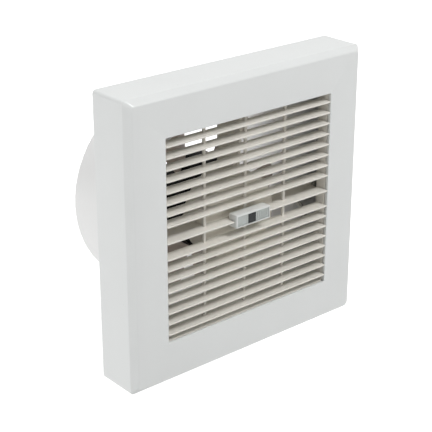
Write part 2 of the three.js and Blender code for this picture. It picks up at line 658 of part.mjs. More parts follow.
// A cup on four deep arms. It carries the motor in the middle of the duct.
function motorMount() {
  const cup = turned([
    [0, mountFrontY],
    ...quarterRound(CUP_RADIUS - CUP_ROUND, mountFrontY + CUP_ROUND, CUP_ROUND, -RIGHT_ANGLE),
    [CUP_RADIUS, cupBackY], [CUP_RADIUS - CUP_WALL, cupBackY],
    [CUP_RADIUS - CUP_WALL, mountFrontY + CUP_WALL], [0, mountFrontY + CUP_WALL],
  ]);
  const foot = centredBox(FOOT_WIDTH, FOOT_WIDTH, footFrontY, footBackY, mountCircle);
  const profile = new THREE.Shape();
  profile.moveTo(CUP_RADIUS - CUP_WALL / 2, mountFrontY + CUP_ROUND);
  profile.lineTo(DUCT_BORE - FOOT_WIDTH, mountFrontY);
  profile.lineTo(footInner, mountFrontY);
  profile.lineTo(footInner + FOOT_THICKNESS, footFrontY + WELD_OVERLAP);
  profile.lineTo(footInner, footBackY);
  profile.lineTo(DUCT_BORE - TIP_CLEARANCE, footBackY);
  profile.lineTo(DUCT_BORE - TIP_CLEARANCE, cupBackY);
  profile.lineTo(CUP_RADIUS - CUP_WALL / 2, cupBackY);
  const web = solid(new THREE.ExtrudeGeometry(profile, { depth: ARM_THICKNESS, bevelEnabled: false })
    .translate(0, 0, -ARM_THICKNESS / 2));
  const [, , shank] = MOUNT_SCREW;
  const screwHole = bar(shank + SEAT_GAP, footFrontY - CUT_PAST, footBackY + CUT_PAST, mountCircle);
  const arm = cut(join(web, foot), screwHole);
  const degrees = 360 / ARM_COUNT;
  const arms = aroundDuct(ARM_COUNT, (_, i) => arm.rotate([0, -i * degrees, 0]));
  const leadHole = centredBox(
    4 * CUP_WALL, 2 * LEAD_HOLE_RADIUS, leadRunY - LEAD_HOLE_RADIUS, leadRunY + LEAD_HOLE_RADIUS,
    CUP_RADIUS, leadRunZ);
  return cut(join(cup, ...arms), leadHole);
}

// ---------------------------------------------------------------- motor

// The tube stands on the cup's floor, carries the stator outside and the bearings inside.
function bearingTube() {
  return turned([
    [TUBE_BORE, tubeFlangeFrontY], [TUBE_FLANGE_RADIUS, tubeFlangeFrontY],
    [TUBE_FLANGE_RADIUS, tubeFlangeFrontY + TUBE_FLANGE],
    [TUBE_RADIUS, tubeFlangeFrontY + TUBE_FLANGE], [TUBE_RADIUS, tubeBackY], [TUBE_BORE, tubeBackY],
  ]);
}

function bearing() {
  return washer(bearingBore, bearingOuter, 0, BEARING_WIDTH);
}

// Laminations with open slots for the windings.
function statorStack() {
  const slotWidth = FULL_TURN * statorRadius / STATOR_SLOTS / 4;
  const slot = box(statorRadius - SLOT_DEPTH, statorRadius + CUT_PAST, stackFrontY - CUT_PAST,
    stackBackY + CUT_PAST, -slotWidth / 2, slotWidth / 2);
  const degrees = 360 / STATOR_SLOTS;
  const slots = aroundDuct(STATOR_SLOTS, (_, i) => slot.rotate([0, i * degrees, 0]));
  return cut(washer(TUBE_RADIUS + SEAT_GAP, statorRadius, stackFrontY, stackBackY), ...slots);
}

// The coil heads that stand out of one end of the stack, as one rounded ring.
function winding() {
  const round = WINDING_HEIGHT / 3;
  return turned([
    [windingInner, 0], [windingOuter, 0],
    [windingOuter, WINDING_HEIGHT - round], [windingOuter - round, WINDING_HEIGHT],
    [windingInner + round, WINDING_HEIGHT], [windingInner, WINDING_HEIGHT - round],
  ]);
}

function rotorCan() {
  const inner = CAN_RADIUS - CAN_WALL;
  const can = turned([
    [bearingBore, canBackY], [CAN_RADIUS - CAN_ROUND, canBackY],
    ...quarterRound(CAN_RADIUS - CAN_ROUND, canBackY - CAN_ROUND, CAN_ROUND, 0).reverse(),
    [CAN_RADIUS, canFrontY], [inner, canFrontY], [inner, canBackY - CAN_WALL - CAN_ROUND / 2],
    [inner - CAN_ROUND / 2, canBackY - CAN_WALL], [CAN_BOSS_RADIUS, canBackY - CAN_WALL],
    [CAN_BOSS_RADIUS, canBossFrontY], [bearingBore, canBossFrontY],
  ]);
  const vents = aroundDuct(CAN_VENTS, (angle) => bar(
    CAN_VENT_RADIUS, canBackY - 2 * CAN_WALL, canBackY + CUT_PAST,
    CAN_VENT_CIRCLE * Math.cos(angle), CAN_VENT_CIRCLE * Math.sin(angle)));
  return cut(can, ...vents);
}

function motorShaft() {
  const chamfer = SHAFT_RADIUS / 6;
  return turned([
    [0, shaftFrontY], [SHAFT_RADIUS - chamfer, shaftFrontY], [SHAFT_RADIUS, shaftFrontY + chamfer],
    [SHAFT_RADIUS, nutBackY], [SHAFT_RADIUS - chamfer, nutBackY + chamfer], [0, nutBackY + chamfer],
  ], ROUND_SMALL);
}

function shaftCirclip() {
  const ring = washer(bearingBore, CIRCLIP_RADIUS, circlipY, circlipY + CIRCLIP_THICKNESS);
  const mouth = box(0, CIRCLIP_RADIUS + CUT_PAST, circlipY - CUT_PAST,
    circlipY + CIRCLIP_THICKNESS + CUT_PAST, -SHAFT_RADIUS / 2, SHAFT_RADIUS / 2);
  return cut(ring, mouth);
}

function hubNut() {
  const radius = NUT_ACROSS_FLATS / Math.sqrt(3);
  const hexagon = new THREE.CylinderGeometry(radius, radius, NUT_HEIGHT, 6)
    .translate(0, nutFrontY + NUT_HEIGHT / 2, 0);
  return cut(solid(hexagon), bar(bearingBore, nutFrontY - CUT_PAST, nutBackY + CUT_PAST));
}

// ---------------------------------------------------------------- fan blades

// A point of a blade: along = 0 at the leading edge and 1 at the trailing edge, out = 0 at the root
// and 1 at the tip, and up = -1 or 1 on its two faces.
function bladePoint(along, out, up, radius) {
  const blend = (root, tip) => root + (tip - root) * out;
  const depth = blend(BLADE_DEPTH_ROOT, BLADE_DEPTH_TIP);
  const sweep = THREE.MathUtils.degToRad(blend(SWEEP_ANGLE_ROOT, SWEEP_ANGLE_TIP));
  const bulge = 4 * along * (1 - along);
  const share = (1 - EDGE_THINNING + EDGE_THINNING * bulge) * blend(1 + TIP_THINNING, 1 - TIP_THINNING);
  const half = BLADE_THICKNESS / 2 * share;
  const pitch = Math.atan2(depth, sweep * radius);
  const angle = -sweep * along + up * half * Math.sin(pitch) / radius;
  const y = BLADE_FRONT + depth * along - BLADE_CAMBER * bulge + up * half * Math.cos(pitch);
  return new THREE.Vector3(radius * Math.cos(angle), y, radius * Math.sin(angle));
}

// A block of facets bent into the form that place(u, v, w) gives, each of u, v and w from 0 to 1.
function bentBlock(countU, countV, countW, place) {
  const geometry = new THREE.BoxGeometry(1, 1, 1, countU, countV, countW);
  const position = geometry.attributes.position;
  for (let i = 0; i < position.count; i++) {
    const bent = place(position.getX(i) + 0.5, position.getY(i) + 0.5, position.getZ(i) + 0.5);
    position.setXYZ(i, bent.x, bent.y, bent.z);
  }
  return solid(geometry);
}

function fanBlade() {
  const start = bladeRootRadius + BLADE_FOOT / 2;
  const span = bladeTipRadius - start;
  const vane = bentBlock(7, 5, 1, (u, v, w) => {
    const tipRound = 1 - CORNER_CUT * v ** 4 * (2 * u - 1) ** 4;
    return bladePoint(u, v, 2 * w - 1, (start + span * v) * tipRound);
  });
  const foot = bentBlock(7, 1, 1, (u, v, w) => {
    const middle = bladePoint(u, 0, 0, bladeRootRadius + BLADE_FOOT * v);
    middle.y += BLADE_FOOT_WIDTH * (w - 0.5);
    return middle;
  });
  return join(vane, foot);
}

// ---------------------------------------------------------------- mains connection

function clampScrewPlaces() {
  return [wiringX - CLAMP_SCREW_SPACING / 2, wiringX + CLAMP_SCREW_SPACING / 2];
}

function terminalPlaces() {
  return Array.from({ length: TERMINALS }, (_, i) => wiringX + (i - (TERMINALS - 1) / 2) * TERMINAL_PITCH);
}

// A moulded block with a screw well and a wire hole for each pole.
function terminalBlock() {
  const block = centredBox(
    terminalWidth, TERMINAL_HEIGHT, terminalFrontY, terminalBackY, wiringX, terminalZ);
  const wells = terminalPlaces().map((x) => bar(
    TERMINAL_SCREW[0] + SEAT_GAP, terminalFrontY - CUT_PAST, terminalScrewY, x, terminalZ));
  const shanks = terminalPlaces().map((x) => bar(
    TERMINAL_SCREW[2] + SEAT_GAP, terminalScrewY - CUT_PAST,
    terminalScrewY + TERMINAL_SCREW[3] + SEAT_GAP, x, terminalZ));
  const wires = terminalPlaces().map((x) => upright(
    LEAD_RADIUS + SEAT_GAP, terminalZ - TERMINAL_HEIGHT, terminalZ + TERMINAL_HEIGHT, x, terminalWireY));
  const barriers = [-0.5, 0.5].map((step) => centredBox(
    TERMINAL_PITCH / 5, TERMINAL_HEIGHT, terminalFrontY - CUT_PAST,
    terminalFrontY + TERMINAL_DEPTH / 5, wiringX + step * TERMINAL_PITCH, terminalZ));
  return cut(block, ...wells, ...shanks, ...wires, ...barriers);
}

function cableClamp() {
  const [, , shank] = CLAMP_SCREW;
  const y1 = clampSeatY - SEAT_GAP;
  const strap = centredBox(CLAMP_LENGTH, CLAMP_WIDTH, y1 - CLAMP_THICKNESS, y1, wiringX, clampZ);
  const ridge = centredBox(
    CLAMP_SCREW_SPACING / 2, CLAMP_WIDTH / 3, y1 - WELD_OVERLAP, y1 + CLAMP_THICKNESS / 2,
    wiringX, clampZ);
  const holes = clampScrewPlaces().map((x) => bar(shank + SEAT_GAP, y1 - 2 * CLAMP_THICKNESS, 0, x, clampZ));
  return cut(join(strap, ridge), ...holes);
}

function cableGrommet() {
  const neck = GROMMET_RADIUS;
  const front = plateFrontY - SEAT_GAP;
  const back = 0;
  return turned([
    [GROMMET_BORE, front - GROMMET_LIP], [grommetHeadRadius, front - GROMMET_LIP],
    [grommetHeadRadius, front], [neck, front], [neck, back], [GROMMET_BORE, back],
  ], ROUND_MEDIUM);
}

// A shell over the mains connection, open towards the back plate.
function terminalCover() {
  const shell = cut(
    box(boxLeftX, boxRightX, boxFrontY, terminalBackY, boxBottomZ, boxTopZ),
    box(boxLeftX + BOX_WALL, boxRightX - BOX_WALL, boxFrontY + BOX_WALL, 0,
      boxBottomZ + BOX_WALL, boxTopZ - BOX_WALL));
  const tab = box(boxLeftX - boxTabReach, boxLeftX + WELD_OVERLAP, boxTabFrontY, boxTabBackY,
    boxScrewZ - CLAMP_POST_RADIUS, boxScrewZ + CLAMP_POST_RADIUS);
  const hole = bar(
    BOX_SCREW[2] + SEAT_GAP, boxTabFrontY - CUT_PAST, boxTabBackY + CUT_PAST, boxScrewX, boxScrewZ);
  const leadSlot = box(
    leadExitX - 2 * LEAD_RADIUS, leadExitX + TERMINAL_PITCH + 2 * LEAD_RADIUS,
    terminalWireY - 2 * LEAD_RADIUS, 0, boxTopZ - 2 * BOX_WALL, boxTopZ + CUT_PAST);
  return cut(join(shell, tab), hole, leadSlot);
}

// An insulated lead from its terminal, along the underside of the right-hand arm, into the cup.
function motorLead(terminalX, lane) {
  const terminalTop = terminalZ + TERMINAL_HEIGHT / 4;
  const y = leadRunY + lane * leadLaneOffset;
  const start = new THREE.Vector3(terminalX, terminalWireY, terminalTop);
  const end = new THREE.Vector3(windingOuter, y, leadRunZ - DUCT_DROP);
  const turnZ = boxTopZ + 2 * WIRING_SPACING + lane * leadLaneOffset;
  const route = new THREE.CatmullRomCurve3([
    start,
    new THREE.Vector3(terminalX, terminalWireY, terminalTop + TERMINAL_HEIGHT),
    new THREE.Vector3(terminalX - WIRING_SPACING, (terminalWireY + y) / 2, turnZ),
    new THREE.Vector3(DUCT_BORE, y, (turnZ + end.z) / 2),
    new THREE.Vector3(DUCT_BORE - WIRING_SPACING, y, end.z - 4 * WIRING_SPACING),
    new THREE.Vector3(DUCT_BORE - 4 * WIRING_SPACING, y, end.z - LEAD_RADIUS),
    new THREE.Vector3((DUCT_BORE + CUP_RADIUS) / 2, y, end.z - SEAT_GAP),
    new THREE.Vector3(CUP_RADIUS + WIRING_SPACING, y, end.z),
    end,
  ]);
  const section = new THREE.Shape().absarc(0, 0, LEAD_RADIUS, 0, FULL_TURN);
  return solid(new THREE.ExtrudeGeometry(section, {
    steps: 28, curveSegments: 4, bevelEnabled: false, extrudePath: route,
  }));
}

// ---------------------------------------------------------------- assembly

addMesh(fan, 'front_cover', frontCover(), coverPlastic);
addMesh(fan, 'louvre_grille', louvreGrille(), louvrePlastic);
addMesh(fan, 'badge_block', badgeBlock(), badgePlastic);
addMesh(fan, 'badge_plate', badgePlate(), badgeInsert);
addMesh(fan, 'badge_tile', badgeTile(), tileGloss);
addMesh(fan, 'duct_housing', ductHousing(), housingPlastic);

addMesh(ductGroup, 'motor_mount', motorMount(), mountPlastic);
addMesh(ductGroup, 'bearing_tube', bearingTube(), aluminium);
addMesh(ductGroup, 'stator_stack', statorStack(), lamination);
const frontWinding = addMesh(ductGroup, 'winding_front', winding(), copper);
frontWinding.rotation.x = Math.PI;
frontWinding.position.y = stackFrontY - SEAT_GAP;
addMesh(ductGroup, 'winding_rear', winding(), copper).position.y = stackBackY + SEAT_GAP;
addMesh(ductGroup, 'front_bearing', bearing(), steel).position.y = frontBearingY;
addMesh(ductGroup, 'rear_bearing', bearing(), steel).position.y = rearBearingY;

mountPlaces().forEach(([x, z], i) => {
  const screw = addMesh(fan, `mount_screw_${i + 1}`, screwShape(MOUNT_SCREW), steel);
  screw.position.set(x, footFrontY - SEAT_GAP, z);
});
coverScrewPlaces().forEach((x, i) => {
  const screw = addMesh(fan, `cover_screw_${i + 1}`, screwShape(COVER_SCREW), steel);
  screw.rotation.x = RIGHT_ANGLE;
  screw.position.set(x, coverPadY, -CASING_SIDE / 2 + COVER_SCREW_SINK - SEAT_GAP);
});

addMesh(impellerGroup, 'rotor_can', rotorCan(), canPaint);
addMesh(impellerGroup, 'rotor_ring',
  washer(rotorRingInner, rotorRingOuter, stackFrontY, stackBackY), lamination);
addMesh(impellerGroup, 'motor_shaft', motorShaft(), steel);
addMesh(impellerGroup, 'shaft_circlip', shaftCirclip(), steel);
addMesh(impellerGroup, 'hub_nut', hubNut(), steel);
aroundDuct(BLADE_COUNT, (angle, i) => {
  const blade = addMesh(impellerGroup, `fan_blade_${i + 1}`, fanBlade(), bladePlastic);
  blade.rotation.y = -THREE.MathUtils.degToRad(REST_ANGLE) - angle;
});

addMesh(fan, 'terminal_block', terminalBlock(), terminalPlastic);
terminalPlaces().forEach((x, i) => {
  const screw = addMesh(fan, `terminal_screw_${i + 1}`, screwShape(TERMINAL_SCREW), brass);
  screw.position.set(x, terminalScrewY - SEAT_GAP, terminalZ);
});
addMesh(fan, 'cable_clamp', cableClamp(), greyPlastic);
clampScrewPlaces().forEach((x, i) => {
  const screw = addMesh(fan, `clamp_screw_${i + 1}`, screwShape(CLAMP_SCREW), steel);
  screw.position.set(x, clampSeatY - 2 * SEAT_GAP - CLAMP_THICKNESS, clampZ);
});
addMesh(fan, 'cable_grommet', cableGrommet(), rubber).position.set(wiringX, 0, grommetZ);
addMesh(fan, 'terminal_cover', terminalCover(), greyPlastic);
addMesh(fan, 'terminal_cover_screw', screwShape(BOX_SCREW), steel)
  .position.set(boxScrewX, boxTabFrontY - SEAT_GAP, boxScrewZ);
addMesh(fan, 'lead_live', motorLead(terminalPlaces()[0], -1), leadGrey);
addMesh(fan, 'lead_neutral', motorLead(terminalPlaces()[1], 1), leadWhite);

export default fan;
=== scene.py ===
"""The looks of a louvred duct fan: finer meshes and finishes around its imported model.

Blender units are metres. X runs to the right as seen from the room, Y into the wall along the duct,
and Z is up. Sizes are in millimetres unless a comment says otherwise, and MM turns them to metres.
"""

import json
from math import atan2, copysign, cos, pi, radians, sin, sqrt, tan

import bmesh
import bpy
from mathutils import Matrix, Vector


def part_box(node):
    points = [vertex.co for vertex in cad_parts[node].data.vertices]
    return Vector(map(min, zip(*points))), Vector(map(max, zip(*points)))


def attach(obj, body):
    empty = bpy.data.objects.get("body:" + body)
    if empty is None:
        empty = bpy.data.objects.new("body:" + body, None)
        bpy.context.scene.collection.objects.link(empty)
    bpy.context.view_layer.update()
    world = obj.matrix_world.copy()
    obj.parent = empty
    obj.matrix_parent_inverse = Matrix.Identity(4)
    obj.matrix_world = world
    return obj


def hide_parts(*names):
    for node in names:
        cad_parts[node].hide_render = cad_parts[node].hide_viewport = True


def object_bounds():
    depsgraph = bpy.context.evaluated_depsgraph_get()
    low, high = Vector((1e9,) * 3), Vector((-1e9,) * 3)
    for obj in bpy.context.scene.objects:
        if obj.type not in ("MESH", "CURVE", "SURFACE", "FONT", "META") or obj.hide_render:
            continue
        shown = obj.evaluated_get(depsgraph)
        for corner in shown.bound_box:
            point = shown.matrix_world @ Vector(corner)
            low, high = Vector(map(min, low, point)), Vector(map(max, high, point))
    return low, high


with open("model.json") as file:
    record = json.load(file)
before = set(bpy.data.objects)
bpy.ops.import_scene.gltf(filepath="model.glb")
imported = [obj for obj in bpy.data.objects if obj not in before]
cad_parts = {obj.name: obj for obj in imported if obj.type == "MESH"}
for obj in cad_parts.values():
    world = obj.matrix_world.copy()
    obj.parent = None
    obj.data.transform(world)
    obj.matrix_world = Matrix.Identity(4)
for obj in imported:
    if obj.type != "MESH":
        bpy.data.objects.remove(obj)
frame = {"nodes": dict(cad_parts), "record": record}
cad_low, cad_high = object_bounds()

MM = 0.001
FULL_TURN = 2 * pi
scene = bpy.context.scene

# ------------------------ sizes, in millimetres

SEAT_GAP = 0.3
JOINT_OVERLAP = 0.1               # how far the parts of one moulding run into each other
CASING_FRONT = -35.0
CASING_WALL = 2.4
CASING_CORNER = 2.5               # radius of the casing's four corners
FRONT_CORNER = 3.1                # the same, where the chamfer meets the front
CHAMFER_INSET = 3.8
CHAMFER_DEPTH = 4.4
CHAMFER_OUTER_ROUND = 0.9         # where a side turns into the chamfer
CHAMFER_OUTER_STEPS = 4
CHAMFER_INNER_ROUND = 2.2         # where the chamfer turns into the front
CHAMFER_INNER_STEPS = 8
CORNER_STEPS = 8
EDGE_ROUND = 0.55                 # on the opening, the back edge and the inside
EDGE_STEPS = 4
SKIN_ALLOWANCE = 0.02             # how far the rounded skin stays inside the plain one
CUT_PAST = 1.0                    # how far a cutting shape runs past what it cuts

# meshes
LATHE_SEGMENTS = 96
SCREW_SEGMENTS = 32
ROUND_STEPS = 4                   # faces in the round of a turned corner
GROMMET_SEGMENTS = 64
NOTHING = 1e-6                    # a radius or a gap this small counts as none
FLAT_ANGLE = radians(0.5)         # faces that turn less than this are one flat face
SHARP_ANGLE = radians(35)         # an edge that turns more than this is drawn sharp
BEVEL_ANGLE = radians(28)         # an edge that turns more than this takes a radius
FACET_ANGLE = radians(60)         # the same two, where a coarse round has to stay smooth

# louvre grille
LOUVRES_EACH_HALF = 8
LOUVRE_PITCH = 7.63
CENTRE_PITCH = 11.4
LOUVRE_DEPTH = 9.8
LOUVRE_LIP = 1.2
LOUVRE_TAIL = 0.9
LOUVRE_FALL = 0.3
LOUVRE_RISE = 0.4
LOUVRE_ROUND = 0.42
LOUVRE_ROUND_STEPS = 5
OPENING_RISE = 0.7                # the opening's middle lies this far above the casing's
OPENING_CLEAR_WIDTH = 141.2       # inside the grille's frame
OPENING_CLEAR_HEIGHT = 140.2
RIB_SPACING = 35.1
RIB_THICKNESS = 2.0
RIB_DEPTH = 1.8
RIB_SETBACK = 6.3                 # from the louvres' front to the ribs'
RIBS = 3
RIB_ROUND = 0.35
FRAME_ROUND = 0.4
HOLE_PAST = 5.0                   # how far the frame's hole is cut past it
POCKET_ROUND = 0.1                # of the pocket that takes the badge

# badge
DIVIDER_X = -5.3
DIVIDER_WIDTH = 0.9
BADGE_RIB_START = 3.6
BADGE_RIB_PITCH = 1.65
BADGE_RIBS = 6
BADGE_RIB_WIDTH = 0.7
BADGE_RELIEF = 0.4                # how far the ribs and the divider stand out of the plate
BADGE_INSET = 0.5
BADGE_ROUND = 0.8
BADGE_ROUND_STEPS = 5
BADGE_RIM = 1.1
BADGE_RECESS = 2.1
FINE_ROUND = 0.12                 # inside the recess, and on the ribs and the divider
PLATE_ROUND = 0.15
BADGE_FACE_DEPTH = 0.4            # from the rim's front to the face plate
TILE_GAP = 0.1
TILE_POCKET_ROUND = 0.05
TILE_ROUND = 0.25

# duct housing and motor mount
HOUSING_ROUND = 0.45
MOUNT_ROUND = 0.4

# motor
DUCT_DROP = 3.5                   # the duct's axis lies this far below the casing's middle
CAN_WALL = 1.3
CAN_ROUND = 3.0
CAN_ROUND_STEPS = 6
CAN_EDGE = 0.15                   # round of its vents' edges
CAN_BOSS_RADIUS = 7.5
CAN_BOSS_LENGTH = 5.0
CAN_VENTS = 6
CAN_VENT_RADIUS = 3.0
CAN_VENT_CIRCLE = 20.0
CAN_DISH_RADIUS = 13.0            # a shallow pressed ring round the can's middle
CAN_DISH_DEPTH = 0.5
CAN_DISH_SLOPE = 1.0              # width of the slope on either side of the dish
SHAFT_RADIUS = 3.0
SHAFT_GROOVE = 6.0                # from the shaft's end to its groove
GROOVE_DEPTH = 0.4
GROOVE_WIDTH = 0.8
CIRCLIP_ROUND = 0.15
NUT_ROUND = 0.35
ROTOR_RING_WALL = 5.5
TUBE_RADIUS = 8.5
TUBE_BORE = 6.3
TUBE_FLANGE = 2.5
BEARING_RING = 0.7
BEARING_SHIELD_DEPTH = 0.35
STATOR_TEETH = 12
STATOR_ROUND = 0.2
COIL_INNER = 10.8
COIL_SHARE = 0.86                 # share of a tooth's pitch that a coil takes
COIL_ROUND = 1.7
COIL_ROUND_STEPS = 5
LAP_INSET = 1.0                   # how far the wire between the coils stays inside them
LAP_ROUND = 0.8

# screws: head radius, head height, shank radius and length
MOUNT_SCREW = (3.6, 2.2, 1.7, 8.4)
COVER_SCREW = (3.4, 1.9, 1.7, 11.0)
TERMINAL_SCREW = (1.9, 1.2, 1.2, 4.5)
CLAMP_SCREW = (2.6, 1.7, 1.2, 6.6)
BOX_SCREW = (2.6, 1.7, 1.3, 8.0)
CROWN_RADIUS = 0.55               # where the head's flat top ends, as a share of its radius
CROWN_SHOULDER = 0.9              # the same, where its crown ends
CROWN_DROP = 0.35                 # share of the head's height that the crown takes
SCREW_RECESS = 0.55               # depth of the cross, as a share of the head's height
DRIVE_REACH = 0.65                # length of its arms, as a share of the head's radius
DRIVE_WIDTH = 0.7
DRIVE_ROUND = 0.1
THREAD_CORE = 0.82                # share of the shank's radius at the thread's root
THREAD_PITCH = 0.9
THREAD_START = 1.0
THREAD_ROOT = 0.3                 # where the root ends, as a share of the pitch
THREAD_CREST = 0.6                # the same, to the crest

# blades
BLADE_COUNT = 6
BLADE_FRONT = 17.0
BLADE_DEPTH_ROOT = 16.0
BLADE_DEPTH_TIP = 14.0
SWEEP_ANGLE_ROOT = 38.0           # degrees, as are the tip's and the rest angle
SWEEP_ANGLE_TIP = 37.0
BLADE_CAMBER = 1.8
BLADE_THICKNESS = 1.8
EDGE_THINNING = 0.55              # share of its thickness that a blade loses at its edges
TIP_THINNING = 0.15               # share that it gains at the root and loses at the tip
CORNER_CUT = 0.06                 # share of the radius by which the tip's corners are cut back
BLADE_FOOT = 1.6
BLADE_FOOT_WIDTH = 5.0
BLADE_ROOT_RADIUS = 32.8
BLADE_TIP_RADIUS = 69.0
REST_ANGLE = 131.0
BLADE_EDGE = 0.02                 # share of the chord that a round edge takes
BLADE_EDGE_RADIUS = 0.6           # at the tip
BLADE_FILLET = 1.6
CHORD_STEPS = 18
SPAN_STEPS = 14
EDGE_SHARES = (0.12, 0.45, 1.0)   # where a round edge has its points
TIP_SHARES = (0.45, 0.12, 0.02)   # the same at the tip, from inside out
FOOT_STEPS = 24

# mains connection
GROMMET_BORE = 2.6
GROMMET_LIP = 1.4
GROMMET_NECK = 5.2
TERMINAL_ROUND = 0.3
CLAMP_ROUND = 0.35
LID_ROUND = 0.6
LID_STEPS = 4
LEAD_LEVELS = 2                   # how often a lead's mesh is smoothed

# floor and light
FLOOR_REACH = 6.0                 # metres, as is the drop
FLOOR_DROP = 0.06
FLOOR_LIFT = 0.78                 # glow that makes the floor show as white
WORLD_LEVEL = 0.3                 # of the world's light, where it isn't seen straight on

# lamps: name, azimuth and elevation in degrees, distance, width and height in metres, and watts
LAMPS = [
    ("key", -100, 15, 1.8, 1.2, 0.9, 13.2),
    ("front_fill", 22, 50, 1.8, 0.6, 0.6, 18.5),
    ("duct_light", 180, 0, 0.9, 0.24, 0.24, 2),
    ("overhead", 150, 62, 1.8, 1.0, 1.0, 8.5),
]

DUCT_AXIS = Vector((0, 0, -DUCT_DROP * MM))

# ------------------------ camera

CAMERA_AZIMUTH = radians(-40.35)
CAMERA_ELEVATION = radians(22.98)
CAMERA_AIM = Vector((-0.0311, -0.0350, 0.0094))   # metres, as is the distance
CAMERA_DISTANCE = 0.8031
CAMERA_LENS = 103.6
SENSOR_WIDTH = 36.0


def direction(azimuth, elevation):
    """Unit vector towards a viewer who stands at that azimuth and elevation."""
    level = cos(elevation)
    return Vector((sin(azimuth) * level, -cos(azimuth) * level, sin(elevation)))


def make_camera():
    data = bpy.data.cameras.new("camera")
    data.lens = CAMERA_LENS
    data.sensor_width = SENSOR_WIDTH
    camera = bpy.data.objects.new("camera", data)
    back = direction(CAMERA_AZIMUTH, CAMERA_ELEVATION)
    camera.location = CAMERA_AIM + back * CAMERA_DISTANCE
    camera.rotation_euler = (-back).to_track_quat("-Z", "Y").to_euler()
    scene.collection.objects.link(camera)
    scene.camera = camera


make_camera()

# ------------------------ nodes


def linear(colour):
    """An sRGB colour such as "#e6e8e7" as linear red, green, blue and alpha."""
    parts = [int(colour[i:i + 2], 16) / 255 for i in (1, 3, 5)]
    return [c / 12.92 if c <= 0.04045 else ((c + 0.055) / 1.055) ** 2.4 for c in parts] + [1.0]


def put(tree, kind, inputs=None, **settings):
    """Adds a node. Each input goes to the socket of that name or number, as a value or a link."""
    node = tree.nodes.new(kind)
    for name, value in settings.items():
        setattr(node, name, value)
    for key, value in (inputs or {}).items():
        if isinstance(value, bpy.types.NodeSocket):
            tree.links.new(value, node.inputs[key])
        else:
            node.inputs[key].default_value = value
    return node


# ------------------------ finishes


def per(size_mm):
    """A texture's scale, for a pattern whose features are this many millimetres across. The bands
    or rings of a wave texture lie about a third of that apart."""
    return 1 / (size_mm * MM)


def new_finish(name, colour, roughness, **sockets):
    """A material with its shader, and the point on the piece that its patterns read."""
    material = bpy.data.materials.new(name)
    material.use_nodes = True
    material.diffuse_color = linear(colour)
    tree = material.node_tree
    shader = tree.nodes["Principled BSDF"]
    shader.inputs["Base Color"].default_value = linear(colour)
    shader.inputs["Roughness"].default_value = roughness
    for socket, value in sockets.items():
        shader.inputs[socket.replace("_", " ")].default_value = value
    place = put(tree, "ShaderNodeTexCoord").outputs["Object"]
    return material, tree, shader, place


def vary_colour(tree, shader, factor, low, high):
    """The base colour runs from low to high as factor goes from 0 to 1."""
    mix = put(tree, "ShaderNodeMix", {0: factor, 6: linear(low), 7: linear(high)}, data_type="RGBA")
    tree.links.new(mix.outputs[2], shader.inputs["Base Color"])


def vary_roughness(tree, shader, factor, low, high):
    spread = put(tree, "ShaderNodeMapRange", {"Value": factor, "To Min": low, "To Max": high})
    tree.links.new(spread.outputs["Result"], shader.inputs["Roughness"])


def emboss(tree, shader, height, depth_mm):
    bump = put(tree, "ShaderNodeBump", {
        "Height": height, "Distance": depth_mm * MM, "Strength": 1.0})
    tree.links.new(bump.outputs["Normal"], shader.inputs["Normal"])


def moulded_plastic(name, low, high, roughness, grain_mm, grain_depth_mm, flow_mm=45):
    """Injection-moulded plastic: a faint drift of colour where the melt flowed, and in its gloss
    the grain that the tool leaves. The grain is drawn as coarse as it needs to show."""
    material, tree, shader, place = new_finish(name, high, roughness, IOR=1.53)
    flow = put(tree, "ShaderNodeTexNoise", {"Vector": place, "Scale": per(flow_mm), "Detail": 2.0})
    grain = put(tree, "ShaderNodeTexNoise", {
        "Vector": place, "Scale": per(grain_mm), "Detail": 3.0})
    vary_colour(tree, shader, flow.outputs["Fac"], low, high)
    vary_roughness(tree, shader, grain.outputs["Fac"], roughness - 0.05, roughness + 0.05)
    emboss(tree, shader, grain.outputs["Fac"], grain_depth_mm)
    return material


def mottled_metal(name, low, high, roughness):
    """Bare or plated metal: bright, with a fine mottle of tarnish or passivation."""
    material, tree, shader, place = new_finish(name, high, roughness, Metallic=1.0)
    mottle = put(tree, "ShaderNodeTexNoise", {"Vector": place, "Scale": per(1.6), "Detail": 4.0})
    vary_colour(tree, shader, mottle.outputs["Fac"], low, high)
    vary_roughness(tree, shader, mottle.outputs["Fac"], roughness - 0.08, roughness + 0.1)
    emboss(tree, shader, mottle.outputs["Fac"], 0.01)
    return material


def turned_aluminium(name, colour, roughness):
    """Turned aluminium: faint rings round the Y axis, which stretch each highlight."""
    material, tree, shader, place = new_finish(name, colour, roughness, Metallic=1.0)
    rings = put(tree, "ShaderNodeTexWave", {
        "Vector": place, "Scale": per(9), "Distortion": 0.6, "Detail": 3.0}, bands_direction="Y")
    vary_roughness(tree, shader, rings.outputs["Fac"], roughness - 0.08, roughness + 0.12)
    emboss(tree, shader, rings.outputs["Fac"], 0.02)
    return material


def stacked_sheet(name, colour, roughness):
    """Stacked silicon-steel sheet with dark varnish lines, drawn about 3 mm apart, which is coarser
    than real, so that they show."""
    material, tree, shader, place = new_finish(name, colour, roughness, Metallic=0.85)
    sheets = put(tree, "ShaderNodeTexWave", {"Vector": place, "Scale": per(10), "Detail": 0.0},
                 bands_direction="Y")
    vary_colour(tree, shader, sheets.outputs["Fac"], "#3a3b3d", "#808285")
    emboss(tree, shader, sheets.outputs["Fac"], 0.05)
    return material


